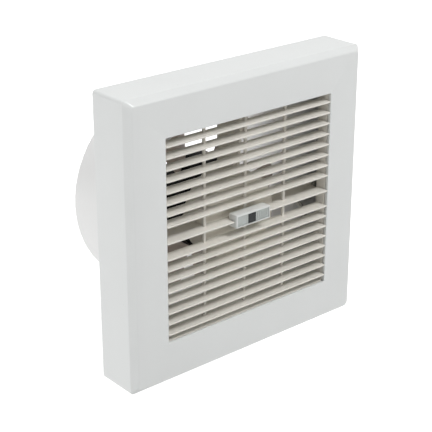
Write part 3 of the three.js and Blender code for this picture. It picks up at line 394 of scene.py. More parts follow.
def enamelled_wire(name, colour, roughness):
    """Enamelled copper wire, wound side by side under a coat of varnish. Its turns are drawn about
    2.5 mm wide, which is coarser than real, so that they show."""
    material, tree, shader, place = new_finish(
        name, colour, roughness, Metallic=0.9, Coat_Weight=0.6, Coat_Roughness=0.2)
    turns = put(tree, "ShaderNodeTexWave", {
        "Vector": place, "Scale": per(8), "Distortion": 2.5, "Detail": 2.0}, wave_type="RINGS")
    vary_colour(tree, shader, turns.outputs["Fac"], "#6b2f1a", "#c1714a")
    emboss(tree, shader, turns.outputs["Fac"], 0.12)
    return material


def stoving_paint(name, low, high, roughness):
    """Black stoving paint on pressed steel: nearly matt, with the orange peel of a sprayed coat."""
    material, tree, shader, place = new_finish(
        name, high, roughness, IOR=1.5, Specular_IOR_Level=0.2)
    peel = put(tree, "ShaderNodeTexVoronoi", {
        "Vector": place, "Scale": per(0.9)}, feature="SMOOTH_F1")
    dust = put(tree, "ShaderNodeTexNoise", {"Vector": place, "Scale": per(14), "Detail": 5.0})
    vary_colour(tree, shader, dust.outputs["Fac"], low, high)
    vary_roughness(tree, shader, dust.outputs["Fac"], roughness - 0.08, roughness + 0.08)
    emboss(tree, shader, peel.outputs["Distance"], 0.02)
    return material


def dark_acrylic(name, colour, roughness):
    """Black acrylic: a deep, nearly even black under a smooth face that mirrors little."""
    material, tree, shader, place = new_finish(
        name, colour, roughness, IOR=1.49, Specular_IOR_Level=0.3)
    haze = put(tree, "ShaderNodeTexNoise", {"Vector": place, "Scale": per(3), "Detail": 2.0})
    vary_colour(tree, shader, haze.outputs["Fac"], "#0b0e10", "#23282a")
    return material


def moulded_rubber(name, low, high, roughness):
    """Moulded rubber: dull, with a chalky bloom."""
    material, tree, shader, place = new_finish(name, high, roughness, IOR=1.5)
    bloom = put(tree, "ShaderNodeTexNoise", {"Vector": place, "Scale": per(2.4), "Detail": 6.0})
    vary_colour(tree, shader, bloom.outputs["Fac"], low, high)
    emboss(tree, shader, bloom.outputs["Fac"], 0.03)
    return material


# The record's slot names, each with the finish that its pieces take.
FINISHES = {
    # Gloss ABS from a polished tool: cool white, and bright where it mirrors a soft box.
    "cover_plastic": moulded_plastic(
        "gloss_abs_cool_white", "#e2e4e3", "#e7e9e8", 0.30, 1.4, 0.004),
    # Satin ABS: a warm off-white with a fine spark-eroded grain, so that the slats look soft.
    "louvre_plastic": moulded_plastic(
        "satin_abs_warm_white", "#e3e0d8", "#edeae3", 0.46, 0.7, 0.010, 20),
    # Polypropylene from a polished tool: white, a little waxier than the cover.
    "housing_plastic": moulded_plastic(
        "polypropylene_white", "#e6e6e5", "#eeeeed", 0.36, 1.6, 0.006),
    # Glass-filled nylon: a warm off-white with a dry, slightly fibrous grain.
    "mount_plastic": moulded_plastic(
        "glass_filled_nylon_white", "#e6e1d4", "#f0ece1", 0.52, 0.9, 0.015, 12),
    # Polypropylene, satin: pale blades with a warm, slightly pink cast.
    "blade_plastic": moulded_plastic(
        "polypropylene_warm_grey", "#c4b6ac", "#d0c4ba", 0.42, 1.0, 0.008, 18),
    # Gloss ABS in a small moulding: white, a shade greyer than the cover.
    "badge_plastic": moulded_plastic(
        "gloss_abs_small_white", "#dcdedc", "#e4e6e4", 0.32, 0.8, 0.004, 6),
    # Matt film-faced styrene: flat and pale grey-green.
    "badge_insert": moulded_plastic(
        "matt_styrene_grey_green", "#b6bbb8", "#c2c7c4", 0.5, 0.4, 0.004, 4),
    # Black acrylic, with a dull shine.
    "tile_gloss": dark_acrylic("black_acrylic", "#121618", 0.28),
    # Black stoving paint on pressed steel: a deep black that hardly shines.
    "can_paint": stoving_paint("black_stoving_paint", "#030303", "#070606", 0.7),
    # Zinc-plated steel: grey, with a slightly yellow and blue passivation.
    "steel": mottled_metal("zinc_plated_steel", "#8b8f96", "#b9b4a4", 0.34),
    # Silicon-steel sheet, seen on its cut edges: grey, with dark lines of varnish.
    "lamination": stacked_sheet("stacked_silicon_steel", "#6f7072", 0.5),
    # Aluminium as the lathe leaves it: silvery, with faint rings.
    "aluminium": turned_aluminium("turned_aluminium", "#c2c4c6", 0.36),
    # Enamelled copper: a dark to bright orange under varnish.
    "copper": enamelled_wire("enamelled_copper_wire", "#a6583a", 0.4),
    # Bare brass: a warm yellow, a little brown where it has tarnished.
    "brass": mottled_metal("plain_brass", "#a8874a", "#cdae6c", 0.35),
    # Natural polyamide: a creamy, slightly waxy white.
    "terminal_plastic": moulded_plastic(
        "natural_polyamide", "#d8d3c4", "#e4e0d3", 0.48, 0.8, 0.008, 8),
    # Mid-grey ABS with a fine grain.
    "grey_plastic": moulded_plastic(
        "grained_abs_mid_grey", "#86898a", "#929596", 0.5, 0.7, 0.012, 15),
    # Black rubber, dull with bloom.
    "rubber": moulded_rubber("black_moulded_rubber", "#1b1b1b", "#2c2c2b", 0.82),
    # PVC insulation: smooth and slightly shiny.
    "lead_grey": moulded_plastic(
        "pvc_insulation_grey", "#92918c", "#a2a19c", 0.42, 0.9, 0.004, 6),
    "lead_white": moulded_plastic(
        "pvc_insulation_off_white", "#cbc9c2", "#d8d6d0", 0.42, 0.9, 0.004, 6),
}

# ------------------------ making pieces


def slot_of(node):
    return next(p["material_slot"] for p in frame["record"]["subparts"] if p["node"] == node)


def body_of(node):
    return next(b for b, nodes in frame["record"]["behaviour"]["bodies"].items() if node in nodes)


def box_mm(node):
    """The two corners of a node's box, in millimetres."""
    low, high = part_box(node)
    return low / MM, high / MM


def ring_span(node):
    """A turned node's outer radius and its two ends along Y, in millimetres."""
    low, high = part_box(node)
    return (high.x - low.x) / 2 / MM, low.y / MM, high.y / MM


def middle(node):
    low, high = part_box(node)
    return (low + high) / 2


def numbered(stem, count):
    """The nodes of a piece that repeats, whose names count up from 1."""
    return [f"{stem}_{i}" for i in range(1, count + 1)]


def show(name, mesh, *nodes):
    """A finished piece that stands for these nodes and takes their body and finish."""
    piece = bpy.data.objects.new(name, mesh)
    scene.collection.objects.link(piece)
    slot = slot_of(nodes[0])
    mesh.materials.clear()
    mesh.materials.append(FINISHES[slot])
    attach(piece, body_of(nodes[0]))
    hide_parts(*nodes)
    return piece


def smooth(mesh, angle=SHARP_ANGLE):
    mesh.shade_smooth()
    mesh.set_sharp_from_angle(angle=angle)
    return mesh


def mesh_from(bm, name):
    mesh = bpy.data.meshes.new(name)
    bm.to_mesh(mesh)
    bm.free()
    return mesh


def closed_mesh(bm, name):
    """The mesh of a closed form, with all its faces turned outwards."""
    bmesh.ops.recalc_face_normals(bm, faces=bm.faces)
    return mesh_from(bm, name)


def merged_copy(node):
    """A node's mesh with its loose triangles welded and its flat faces made whole."""
    bm = bmesh.new()
    bm.from_mesh(frame["nodes"][node].data)
    bmesh.ops.remove_doubles(bm, verts=bm.verts, dist=NOTHING)
    bmesh.ops.dissolve_limit(bm, angle_limit=FLAT_ANGLE, verts=bm.verts, edges=bm.edges)
    return mesh_from(bm, node)


def round_edges(piece, radius_mm, segments=3, angle=BEVEL_ANGLE):
    bevel = piece.modifiers.new("round_edges", "BEVEL")
    bevel.width = radius_mm * MM
    bevel.segments = segments
    bevel.limit_method = "ANGLE"
    bevel.angle_limit = angle
    bevel.miter_outer = "MITER_ARC"
    bevel.use_clamp_overlap = False
    bevel.loop_slide = False
    bevel.harden_normals = True
    return piece


def softened(name, node, radius_mm, segments=3):
    """A node's own shape with small radii on its edges."""
    return round_edges(show(name, smooth(merged_copy(node)), node), radius_mm, segments)


def evaluated(piece):
    """The piece's mesh with its modifiers applied; the piece itself is removed."""
    graph = bpy.context.evaluated_depsgraph_get()
    mesh = bpy.data.meshes.new_from_object(piece.evaluated_get(graph))
    bpy.data.objects.remove(piece)
    return mesh


def grow(name, tree, mesh, **sizes):
    """What a geometry tree makes of this mesh, with the tree's named inputs set to these sizes."""
    holder = bpy.data.objects.new(name, mesh)
    scene.collection.objects.link(holder)
    modifier = holder.modifiers.new(name, "NODES")
    modifier.node_group = tree
    for item in tree.interface.items_tree:
        if item.item_type == "SOCKET" and item.in_out == "INPUT" and item.name in sizes:
            modifier[item.identifier] = sizes[item.name]
    bpy.context.view_layer.update()
    return evaluated(holder)


def new_tree(name, **inputs):
    """A geometry tree with these named number inputs, its input node and its output node."""
    tree = bpy.data.node_groups.new(name, "GeometryNodeTree")
    tree.interface.new_socket("Geometry", in_out="INPUT", socket_type="NodeSocketGeometry")
    for key, value in inputs.items():
        kind = "NodeSocketInt" if isinstance(value, int) else "NodeSocketFloat"
        tree.interface.new_socket(key, in_out="INPUT", socket_type=kind).default_value = value
    tree.interface.new_socket("Geometry", in_out="OUTPUT", socket_type="NodeSocketGeometry")
    return tree, put(tree, "NodeGroupInput").outputs


def finish_tree(tree, geometry, slot):
    """Ends a tree: its instances are made real and take their finish."""
    real = put(tree, "GeometryNodeRealizeInstances", {"Geometry": geometry})
    painted = put(tree, "GeometryNodeSetMaterial", {
        "Geometry": real.outputs["Geometry"], "Material": FINISHES[slot]})
    put(tree, "NodeGroupOutput", {"Geometry": painted.outputs["Geometry"]})
    return tree


def turned_mesh(name, corners, segments=LATHE_SEGMENTS, centre=DUCT_AXIS):
    """A solid of revolution round a line along Y, from [radius, y] corners in millimetres."""
    bm = bmesh.new()
    rings = []
    for radius, y in corners:
        if radius < NOTHING:
            rings.append([bm.verts.new((centre.x, y * MM, centre.z))])
            continue
        rings.append([bm.verts.new((
            centre.x + radius * MM * cos(FULL_TURN * i / segments), y * MM,
            centre.z + radius * MM * sin(FULL_TURN * i / segments))) for i in range(segments)])
    closed = corners[0][0] > NOTHING
    pairs = list(zip(rings, rings[1:])) + ([(rings[-1], rings[0])] if closed else [])
    for inner, outer in pairs:
        for i in range(segments):
            j = (i + 1) % segments
            loop = list(dict.fromkeys([
                inner[i % len(inner)], outer[i % len(outer)],
                outer[j % len(outer)], inner[j % len(inner)]]))
            if len(loop) > 2:
                bm.faces.new(loop)
    return closed_mesh(bm, name)


def join_rings(bm, rings):
    """Faces from each ring of points to the next."""
    for a, b in zip(rings, rings[1:]):
        for i in range(len(a)):
            j = (i + 1) % len(a)
            bm.faces.new((a[i], a[j], b[j], b[i]))


def fillet(before, corner, after, radius, steps):
    """Corners of a round of that radius in place of one corner of a turned profile."""
    a, c, b = Vector(before), Vector(corner), Vector(after)
    to_a, to_b = (a - c).normalized(), (b - c).normalized()
    reach = radius / tan(to_a.angle(to_b) / 2)
    start, end = c + to_a * reach, c + to_b * reach
    points = []
    for i in range(steps + 1):
        t = i / steps
        points.append(tuple(start * (1 - t) ** 2 + c * 2 * t * (1 - t) + end * t ** 2))
    return points


def rounded_profile(corners, radii, steps=ROUND_STEPS):
    """A closed profile whose corners have these radii; a radius of 0 keeps a corner sharp."""
    out = []
    for i, (corner, radius) in enumerate(zip(corners, radii)):
        if radius == 0:
            out.append(corner)
        else:
            out += fillet(corners[i - 1], corner, corners[(i + 1) % len(corners)], radius, steps)
    return out


def joined(name, *meshes):
    """One mesh that holds these meshes side by side."""
    bm = bmesh.new()
    for mesh in meshes:
        bm.from_mesh(mesh)
    return mesh_from(bm, name)


def combined(mesh, other, operation="UNION"):
    """The union, difference or intersection of two closed meshes."""
    piece = bpy.data.objects.new("combined", mesh)
    tool = bpy.data.objects.new("tool", other)
    scene.collection.objects.link(piece)
    scene.collection.objects.link(tool)
    boolean = piece.modifiers.new("combine", "BOOLEAN")
    boolean.operation = operation
    boolean.object = tool
    boolean.solver = "EXACT"
    boolean.use_self = True
    result = evaluated(piece)
    bpy.data.objects.remove(tool)
    return result


def block(name, low, high, radius_mm, segments=3):
    """A box between two corners in millimetres, with round edges."""
    bm = bmesh.new()
    bmesh.ops.create_cube(bm, size=1.0)
    low, high = Vector(low) * MM, Vector(high) * MM
    bmesh.ops.scale(bm, vec=high - low, verts=bm.verts)
    bmesh.ops.translate(bm, vec=(low + high) / 2, verts=bm.verts)
    bmesh.ops.bevel(bm, geom=bm.edges, offset=radius_mm * MM, segments=segments, affect="EDGES",
                    profile=0.5, clamp_overlap=True)
    return mesh_from(bm, name)


def row_tree():
    """Copies of the incoming mesh along a straight row to the right."""
    tree, size = new_tree("row", Count=2, StepX=0.01)
    step = put(tree, "ShaderNodeCombineXYZ", {"X": size["StepX"]}).outputs[0]
    line = put(tree, "GeometryNodeMeshLine", {"Count": size["Count"], "Offset": step})
    copies = put(tree, "GeometryNodeInstanceOnPoints", {
        "Points": line.outputs[0], "Instance": size["Geometry"]})
    return tree, copies.outputs[0]


def ring_tree():
    """Copies of the incoming mesh, turned evenly round the duct's axis."""
    tree, size = new_tree("ring", Count=4, AxisZ=0.0)
    axis = put(tree, "ShaderNodeCombineXYZ", {"Z": size["AxisZ"]}).outputs[0]
    line = put(tree, "GeometryNodeMeshLine", {"Count": size["Count"], "Offset": (0, 0, 0)})
    points = put(tree, "GeometryNodeSetPosition", {"Geometry": line.outputs[0], "Position": axis})
    share = put(tree, "ShaderNodeMath", {0: FULL_TURN, 1: size["Count"]},
                operation="DIVIDE").outputs[0]
    index = put(tree, "GeometryNodeInputIndex").outputs[0]
    turn = put(tree, "ShaderNodeMath", {0: index, 1: share}, operation="MULTIPLY").outputs[0]
    facing = put(tree, "ShaderNodeCombineXYZ", {"Y": turn}).outputs[0]
    copies = put(tree, "GeometryNodeInstanceOnPoints", {
        "Points": points.outputs[0], "Instance": size["Geometry"], "Rotation": facing})
    return tree, copies.outputs[0]


def in_a_row(name, mesh, slot, count, step_mm):
    tree, copies = row_tree()
    return grow(name, finish_tree(tree, copies, slot), mesh, Count=count, StepX=step_mm * MM)


def in_a_ring(name, mesh, slot, count):
    tree, copies = ring_tree()
    return grow(name, finish_tree(tree, copies, slot), mesh, Count=count, AxisZ=-DUCT_DROP * MM)


# ------------------------ front cover


def cover_skin():
    """The casing's outside as one soft form: its corners are round, and its chamfer flows into the
    sides and the front. It runs out past the open back."""
    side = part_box("front_cover")[1].x / MM - SKIN_ALLOWANCE
    front = CASING_FRONT + SKIN_ALLOWANCE
    shoulder = front + CHAMFER_DEPTH
    edge = [(0, CASING_CORNER), (0, shoulder), (CHAMFER_INSET, front), (2 * CHAMFER_INSET, front)]
    profile = (edge[:1] + fillet(*edge[:3], CHAMFER_OUTER_ROUND, CHAMFER_OUTER_STEPS)
               + fillet(*edge[1:], CHAMFER_INNER_ROUND, CHAMFER_INNER_STEPS))
    bm = bmesh.new()
    rings = []
    for inset, y in profile:
        radius = CASING_CORNER + (FRONT_CORNER - CASING_CORNER) * inset / CHAMFER_INSET
        centre = side - inset - radius
        ring = []
        for quarter in range(4):
            for i in range(CORNER_STEPS + 1):
                angle = FULL_TURN * (quarter + i / CORNER_STEPS) / 4
                x = copysign(centre, cos(FULL_TURN * (quarter + 0.5) / 4)) + radius * cos(angle)
                z = copysign(centre, sin(FULL_TURN * (quarter + 0.5) / 4)) + radius * sin(angle)
                ring.append(bm.verts.new(Vector((x, y, z)) * MM))
        rings.append(ring)
    join_rings(bm, rings)
    bm.faces.new(rings[0])
    bm.faces.new(rings[-1])
    return closed_mesh(bm, "skin")


def front_cover():
    """The cover's plain shell, trimmed by its soft skin, with small radii on its other edges."""
    shell = combined(cover_skin(), merged_copy("front_cover"), "INTERSECT")
    round_edges(show("cover_shell", smooth(shell), "front_cover"), EDGE_ROUND, EDGE_STEPS)


front_cover()

# ------------------------ louvre grille


def louvre_tree():
    """Level slats with round lips, on heights that leave a wider gap either side of the middle one.
    The incoming mesh, the frame and its ribs, is joined to them."""
    tree, size = new_tree(
        "louvres", Width=0.1, Depth=0.01, Lip=0.001, Tail=0.001, Fall=0.0, Pitch=0.01,
        CentrePitch=0.01, EachHalf=8, Round=0.0004, Front=0.0, Rise=0.0)
    count = put(tree, "ShaderNodeMath", {0: size["EachHalf"], 1: 2.0, 2: 1.0},
                operation="MULTIPLY_ADD").outputs[0]
    index = put(tree, "GeometryNodeInputIndex").outputs[0]
    step = put(tree, "ShaderNodeMath", {0: index, 1: size["EachHalf"]},
               operation="SUBTRACT").outputs[0]
    side = put(tree, "ShaderNodeMath", {0: step}, operation="SIGN").outputs[0]
    extra = put(tree, "ShaderNodeMath", {0: size["CentrePitch"], 1: size["Pitch"]},
                operation="SUBTRACT").outputs[0]
    jump = put(tree, "ShaderNodeMath", {0: side, 1: extra, 2: size["Rise"]},
               operation="MULTIPLY_ADD").outputs[0]
    height = put(tree, "ShaderNodeMath", {0: step, 1: size["Pitch"], 2: jump},
                 operation="MULTIPLY_ADD").outputs[0]
    spot = put(tree, "ShaderNodeCombineXYZ", {"Y": size["Front"], "Z": height}).outputs[0]
    line = put(tree, "GeometryNodeMeshLine", {"Count": count})
    places = put(tree, "GeometryNodeSetPosition", {"Geometry": line.outputs[0], "Position": spot})

    top = put(tree, "ShaderNodeMath", {0: size["Lip"], 1: 0.5}, operation="MULTIPLY").outputs[0]
    bottom = put(tree, "ShaderNodeMath", {0: top, 1: -1.0}, operation="MULTIPLY").outputs[0]
    tail_top = put(tree, "ShaderNodeMath", {0: top, 1: size["Fall"]},
                   operation="SUBTRACT").outputs[0]
    tail_bottom = put(tree, "ShaderNodeMath", {0: tail_top, 1: size["Tail"]},
                      operation="SUBTRACT").outputs[0]
    back = put(tree, "ShaderNodeMath", {0: size["Depth"], 1: -1.0}, operation="MULTIPLY").outputs[0]
    section = [(0.0, bottom), (back, tail_bottom), (back, tail_top), (0.0, top)]
    corners = {f"Point {i}": put(tree, "ShaderNodeCombineXYZ", {"X": x, "Y": z}).outputs[0]
               for i, (x, z) in enumerate(section, 1)}
    profile = put(tree, "GeometryNodeCurvePrimitiveQuadrilateral", corners, mode="POINTS")
    lipped = put(tree, "GeometryNodeFilletCurve", {
        "Curve": profile.outputs[0], "Count": LOUVRE_ROUND_STEPS, "Radius": size["Round"]},
        mode="POLY")
    right = put(tree, "ShaderNodeMath", {0: size["Width"], 1: 0.5}, operation="MULTIPLY").outputs[0]
    left = put(tree, "ShaderNodeMath", {0: right, 1: -1.0}, operation="MULTIPLY").outputs[0]
    rail = put(tree, "GeometryNodeCurvePrimitiveLine", {
        "Start": put(tree, "ShaderNodeCombineXYZ", {"X": left}).outputs[0],
        "End": put(tree, "ShaderNodeCombineXYZ", {"X": right}).outputs[0]})
    slat = put(tree, "GeometryNodeCurveToMesh", {
        "Curve": rail.outputs[0], "Profile Curve": lipped.outputs[0], "Fill Caps": True})
    slats = put(tree, "GeometryNodeInstanceOnPoints", {
        "Points": places.outputs[0], "Instance": slat.outputs[0]})
    both = put(tree, "GeometryNodeJoinGeometry")
    tree.links.new(slats.outputs[0], both.inputs[0])
    tree.links.new(size["Geometry"], both.inputs[0])
    return finish_tree(tree, both.outputs[0], "louvre_plastic")


def grille_frame():
    """The grille's square frame, with the three upright ribs that carry the louvres."""
    low, high = box_mm("louvre_grille")
    front, back = CASING_FRONT + CASING_WALL + SEAT_GAP, high.y
    half = Vector((OPENING_CLEAR_WIDTH / 2, 0, OPENING_CLEAR_HEIGHT / 2))
    outside = block("frame", (low.x, front, low.z), (high.x, back, high.z), FRAME_ROUND)
    inside = block("hole", (-half.x, front - HOLE_PAST, OPENING_RISE - half.z),
                   (half.x, back + HOLE_PAST, OPENING_RISE + half.z), FRAME_ROUND)
    frame_mesh = combined(outside, inside, "DIFFERENCE")
    rib_front = CASING_FRONT + RIB_SETBACK
    reach = half.z + JOINT_OVERLAP
    left = -(RIBS - 1) / 2 * RIB_SPACING - RIB_THICKNESS / 2
    rib = block("rib", (left, rib_front, OPENING_RISE - reach),
                (left + RIB_THICKNESS, rib_front + RIB_DEPTH, OPENING_RISE + reach), RIB_ROUND)
    ribs = in_a_row("ribs", rib, "louvre_plastic", RIBS, RIB_SPACING)
    return joined("frame_and_ribs", frame_mesh, ribs)


def louvre_grille():
    mesh = grow(
        "louvres", louvre_tree(), grille_frame(),
        Width=(OPENING_CLEAR_WIDTH + 2 * JOINT_OVERLAP) * MM, Depth=LOUVRE_DEPTH * MM,
        Lip=LOUVRE_LIP * MM, Tail=LOUVRE_TAIL * MM, Fall=LOUVRE_FALL * MM,
        Pitch=LOUVRE_PITCH * MM, CentrePitch=CENTRE_PITCH * MM, EachHalf=LOUVRES_EACH_HALF,
        Round=LOUVRE_ROUND * MM, Front=CASING_FRONT * MM, Rise=LOUVRE_RISE * MM)
    low, high = box_mm("badge_block")
    gap = Vector((SEAT_GAP, 0, SEAT_GAP))
    pocket = block("pocket", low - gap, high + gap, POCKET_ROUND)
    show("louvres", smooth(combined(mesh, pocket, "DIFFERENCE")), "louvre_grille")


louvre_grille()

# ------------------------ badge


def badge_frame():
    """The badge's body: a small block with soft edges and a shallow recess behind a narrow rim."""
    low, high = box_mm("badge_block")
    body = block("body", low, high, BADGE_ROUND, BADGE_ROUND_STEPS)
    rim = Vector((BADGE_RIM, 0, BADGE_RIM))
    recess = block("recess", low + rim - Vector((0, CUT_PAST, 0)),
                   Vector((high.x, low.y + BADGE_RECESS, high.z)) - rim, FINE_ROUND)
    show("badge_frame", smooth(combined(body, recess, "DIFFERENCE")), "badge_block")


def badge_face():
    """The plain face plate: a bare panel, a raised divider, and fine upright ribs. The dark tile is
    let into it."""
    low, high = box_mm("badge_plate")
    low.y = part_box("badge_block")[0].y / MM + BADGE_FACE_DEPTH
    tile_low, tile_high = box_mm("badge_tile")
    gap = Vector((TILE_GAP, 0, TILE_GAP))
    pocket = block("tile_pocket", tile_low - gap, tile_high + gap, TILE_POCKET_ROUND)
    plate = combined(block("plate", low, high, PLATE_ROUND), pocket, "DIFFERENCE")
    relief = Vector((0, BADGE_RELIEF, 0))
    top = Vector((0, 0, high.z - BADGE_INSET))
    bottom = Vector((0, 0, low.z + BADGE_INSET))
    front = Vector((0, low.y, 0))

    def upright(x, width):
        return block("upright", front - relief + bottom + Vector((x, 0, 0)),
                     front + relief + top + Vector((x + width, 0, 0)), FINE_ROUND)

    rib = upright(BADGE_RIB_START, BADGE_RIB_WIDTH)
    ribs = in_a_row("badge_ribs", rib, "badge_insert", BADGE_RIBS, BADGE_RIB_PITCH)
    divider = upright(DIVIDER_X - DIVIDER_WIDTH / 2, DIVIDER_WIDTH)
    show("badge_face", smooth(joined("badge_face", plate, divider, ribs)), "badge_plate")


badge_frame()
badge_face()
softened("badge_gloss_tile", "badge_tile", TILE_ROUND)

# ------------------------ duct housing and motor mount

softened("housing_shell", "duct_housing", HOUSING_ROUND)
softened("mount_casting", "motor_mount", MOUNT_ROUND)

# ------------------------ screws


def screw_mesh(family):
    """A pan-head screw along Y with a rolled thread and a cross recess; its seat is at y = 0."""
    head_radius, head_height, shank_radius, length = family
    crown = head_height * CROWN_DROP
    core = shank_radius * THREAD_CORE
    corners = [(0, -head_height), (head_radius * CROWN_RADIUS, -head_height),
               (head_radius * CROWN_SHOULDER, -head_height + crown),
               (head_radius, -crown), (head_radius, 0), (shank_radius, 0)]
    turns = int((length - shank_radius) / THREAD_PITCH)
    for i in range(turns):
        y = THREAD_START + i * THREAD_PITCH
        corners += [(core, y), (core, y + THREAD_PITCH * THREAD_ROOT),
                    (shank_radius, y + THREAD_PITCH * THREAD_CREST)]
    corners += [(core, length - shank_radius), (0, length)]
    body = turned_mesh("screw", corners, SCREW_SEGMENTS, Vector((0, 0, 0)))
    reach, half = head_radius * DRIVE_REACH, DRIVE_WIDTH / 2
    floor = -head_height * (1 - SCREW_RECESS)
    slot = block("slot", (-reach, -2 * head_height, -half), (reach, floor, half), DRIVE_ROUND)
    cross = block("cross", (-half, -2 * head_height, -reach), (half, floor, reach), DRIVE_ROUND)
    return combined(combined(body, slot, "DIFFERENCE"), cross, "DIFFERENCE")


def place_screw(family, node, upward=False):
    """The screw's mesh where the node is, with its seat on the node's seat."""
    low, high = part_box(node)
    mesh = screw_mesh(family)
    centre = (low + high) / 2
    head_height = family[1] * MM
    if upward:
        mesh.transform(Matrix.Rotation(pi / 2, 4, "X"))
        centre.z = low.z + head_height
    else:
        centre.y = low.y + head_height
    mesh.transform(Matrix.Translation(centre))
    return mesh


def fit_screws():
    ring = place_screw(MOUNT_SCREW, "mount_screw_1")
    ring.transform(Matrix.Translation(-DUCT_AXIS))
    names = numbered("mount_screw", 4)
    copies = in_a_ring("mount_fixings", ring, slot_of(names[0]), len(names))
    show("mount_fixings", smooth(copies), *names)

    rows = [
        ("cover_fixings", COVER_SCREW, numbered("cover_screw", 2), True),
        ("terminal_fixings", TERMINAL_SCREW, numbered("terminal_screw", 3), False),
        ("clamp_fixings", CLAMP_SCREW, numbered("clamp_screw", 2), False),
        ("box_fixing", BOX_SCREW, ["terminal_cover_screw"], False),
    ]
    for name, family, nodes, upward in rows:
        first = place_screw(family, nodes[0], upward)
        step = (middle(nodes[1]) - middle(nodes[0])).x / MM if len(nodes) > 1 else 0.0
        show(name, smooth(in_a_row(name, first, slot_of(nodes[0]), len(nodes), step)), *nodes)


fit_screws()

# ------------------------ motor


def rotor_can():
    """The pressed and painted can: a rolled rim, a shallow dish, and round vents in its back."""
    outer, front, back = ring_span("rotor_can")
    inner = outer - CAN_WALL
    boss_front = back - CAN_WALL - CAN_BOSS_LENGTH
    dish = back - CAN_DISH_DEPTH
    corners = [
        (SHAFT_RADIUS + SEAT_GAP, back), (CAN_BOSS_RADIUS, back),
        (CAN_BOSS_RADIUS + CAN_DISH_SLOPE, dish), (CAN_DISH_RADIUS, dish),
        (CAN_DISH_RADIUS + CAN_DISH_SLOPE, back), (outer, back), (outer, front),
        (inner, front), (inner, back - CAN_WALL), (CAN_BOSS_RADIUS, back - CAN_WALL),
        (CAN_BOSS_RADIUS, boss_front), (SHAFT_RADIUS + SEAT_GAP, boss_front)]
    rounds = [0.2, 0.4, 0.4, 0.4, 0.4, CAN_ROUND, 0.5, 0.5, CAN_ROUND / 2, 0.6, 0.3, 0.2]
    can = turned_mesh("can", rounded_profile(corners, rounds, CAN_ROUND_STEPS))
    start, end = back - 2 * CAN_WALL, back + CUT_PAST
    vent = turned_mesh("vent", [
        (0, start), (CAN_VENT_RADIUS, start), (CAN_VENT_RADIUS, end), (0, end),
    ], SCREW_SEGMENTS, Vector((CAN_VENT_CIRCLE * MM, 0, 0)))
    vents = in_a_ring("vents", vent, "can_paint", CAN_VENTS)
    piece = show("can_pressing", smooth(combined(can, vents, "DIFFERENCE")), "rotor_can")
    round_edges(piece, CAN_EDGE, 2, FACET_ANGLE)


def turned_piece(name, node, profile, rounds, segments=LATHE_SEGMENTS, centre=DUCT_AXIS):
    mesh = turned_mesh(name, rounded_profile(profile, rounds), segments, centre)
    show(name, smooth(mesh), node)


def bearing(name, node):
    """A ball bearing: two ground rings with a pressed shield set back between them on each side."""
    outer, front, back = ring_span(node)
    bore = SHAFT_RADIUS + SEAT_GAP
    inner_ring, outer_ring = bore + BEARING_RING, outer - BEARING_RING
    set_back = BEARING_SHIELD_DEPTH
    turned_piece(name, node, [
        (bore, front), (inner_ring, front), (inner_ring, front + set_back),
        (outer_ring, front + set_back), (outer_ring, front), (outer, front),
        (outer, back), (outer_ring, back), (outer_ring, back - set_back),
        (inner_ring, back - set_back), (inner_ring, back), (bore, back),
    ], [0.2, 0.1, 0, 0, 0.1, 0.3, 0.3, 0.1, 0, 0, 0.1, 0.2])


def bearing_tube():
    radius, front, back = ring_span("bearing_tube")
    turned_piece("tube_turning", "bearing_tube", [
        (TUBE_BORE, front), (radius, front), (radius, front + TUBE_FLANGE),
        (TUBE_RADIUS, front + TUBE_FLANGE), (TUBE_RADIUS, back), (TUBE_BORE, back),
    ], [0.3, 0.3, 0.5, 0.8, 0.4, 0.4])


def shaft():
    _, front, back = ring_span("motor_shaft")
    groove, floor = back - SHAFT_GROOVE, SHAFT_RADIUS - GROOVE_DEPTH
    turned_piece("shaft_turning", "motor_shaft", [
        (0, front), (SHAFT_RADIUS, front), (SHAFT_RADIUS, groove), (floor, groove),
        (floor, groove + GROOVE_WIDTH), (SHAFT_RADIUS, groove + GROOVE_WIDTH),
        (SHAFT_RADIUS, back), (0, back),
    ], [0, 0.5, 0.1, 0.1, 0.1, 0.1, 0.5, 0])


def rotor_ring():
    outer, front, back = ring_span("rotor_ring")
    inner = outer - ROTOR_RING_WALL
    turned_piece("rotor_stack", "rotor_ring", [
        (inner, front), (outer, front), (outer, back), (inner, back)], [0.3] * 4)


def winding(name, node):
    """The coil heads at one end of the stack: one rounded saddle of wire over each tooth, and a
    lower ring of wire that runs on between them."""
    outer, front, back = ring_span(node)
    inner = COIL_INNER
    half = FULL_TURN * (inner + outer) / 2 / STATOR_TEETH * COIL_SHARE / 2
    saddle = block("saddle", (inner, front, -half), (outer, back, half), COIL_ROUND,
                   COIL_ROUND_STEPS)
    rim, start, end = outer - LAP_INSET, front + LAP_INSET, back - LAP_INSET
    corners = [(inner, start), (rim, start), (rim, end), (inner, end)]
    lap = turned_mesh("lap", rounded_profile(corners, [LAP_ROUND] * len(corners)))
    heads = in_a_ring(name, saddle, "copper", STATOR_TEETH)
    show(name, smooth(joined(name, lap, heads)), node)


rotor_can()
rotor_ring()
bearing_tube()
bearing("bearing_front_rings", "front_bearing")
bearing("bearing_rear_rings", "rear_bearing")
shaft()
softened("circlip_spring", "shaft_circlip", CIRCLIP_ROUND)
softened("nut_hexagon", "hub_nut", NUT_ROUND)
softened("stator_laminations", "stator_stack", STATOR_ROUND)
winding("coil_heads_front", "winding_front")
winding("coil_heads_rear", "winding_rear")

# ------------------------ fan blades


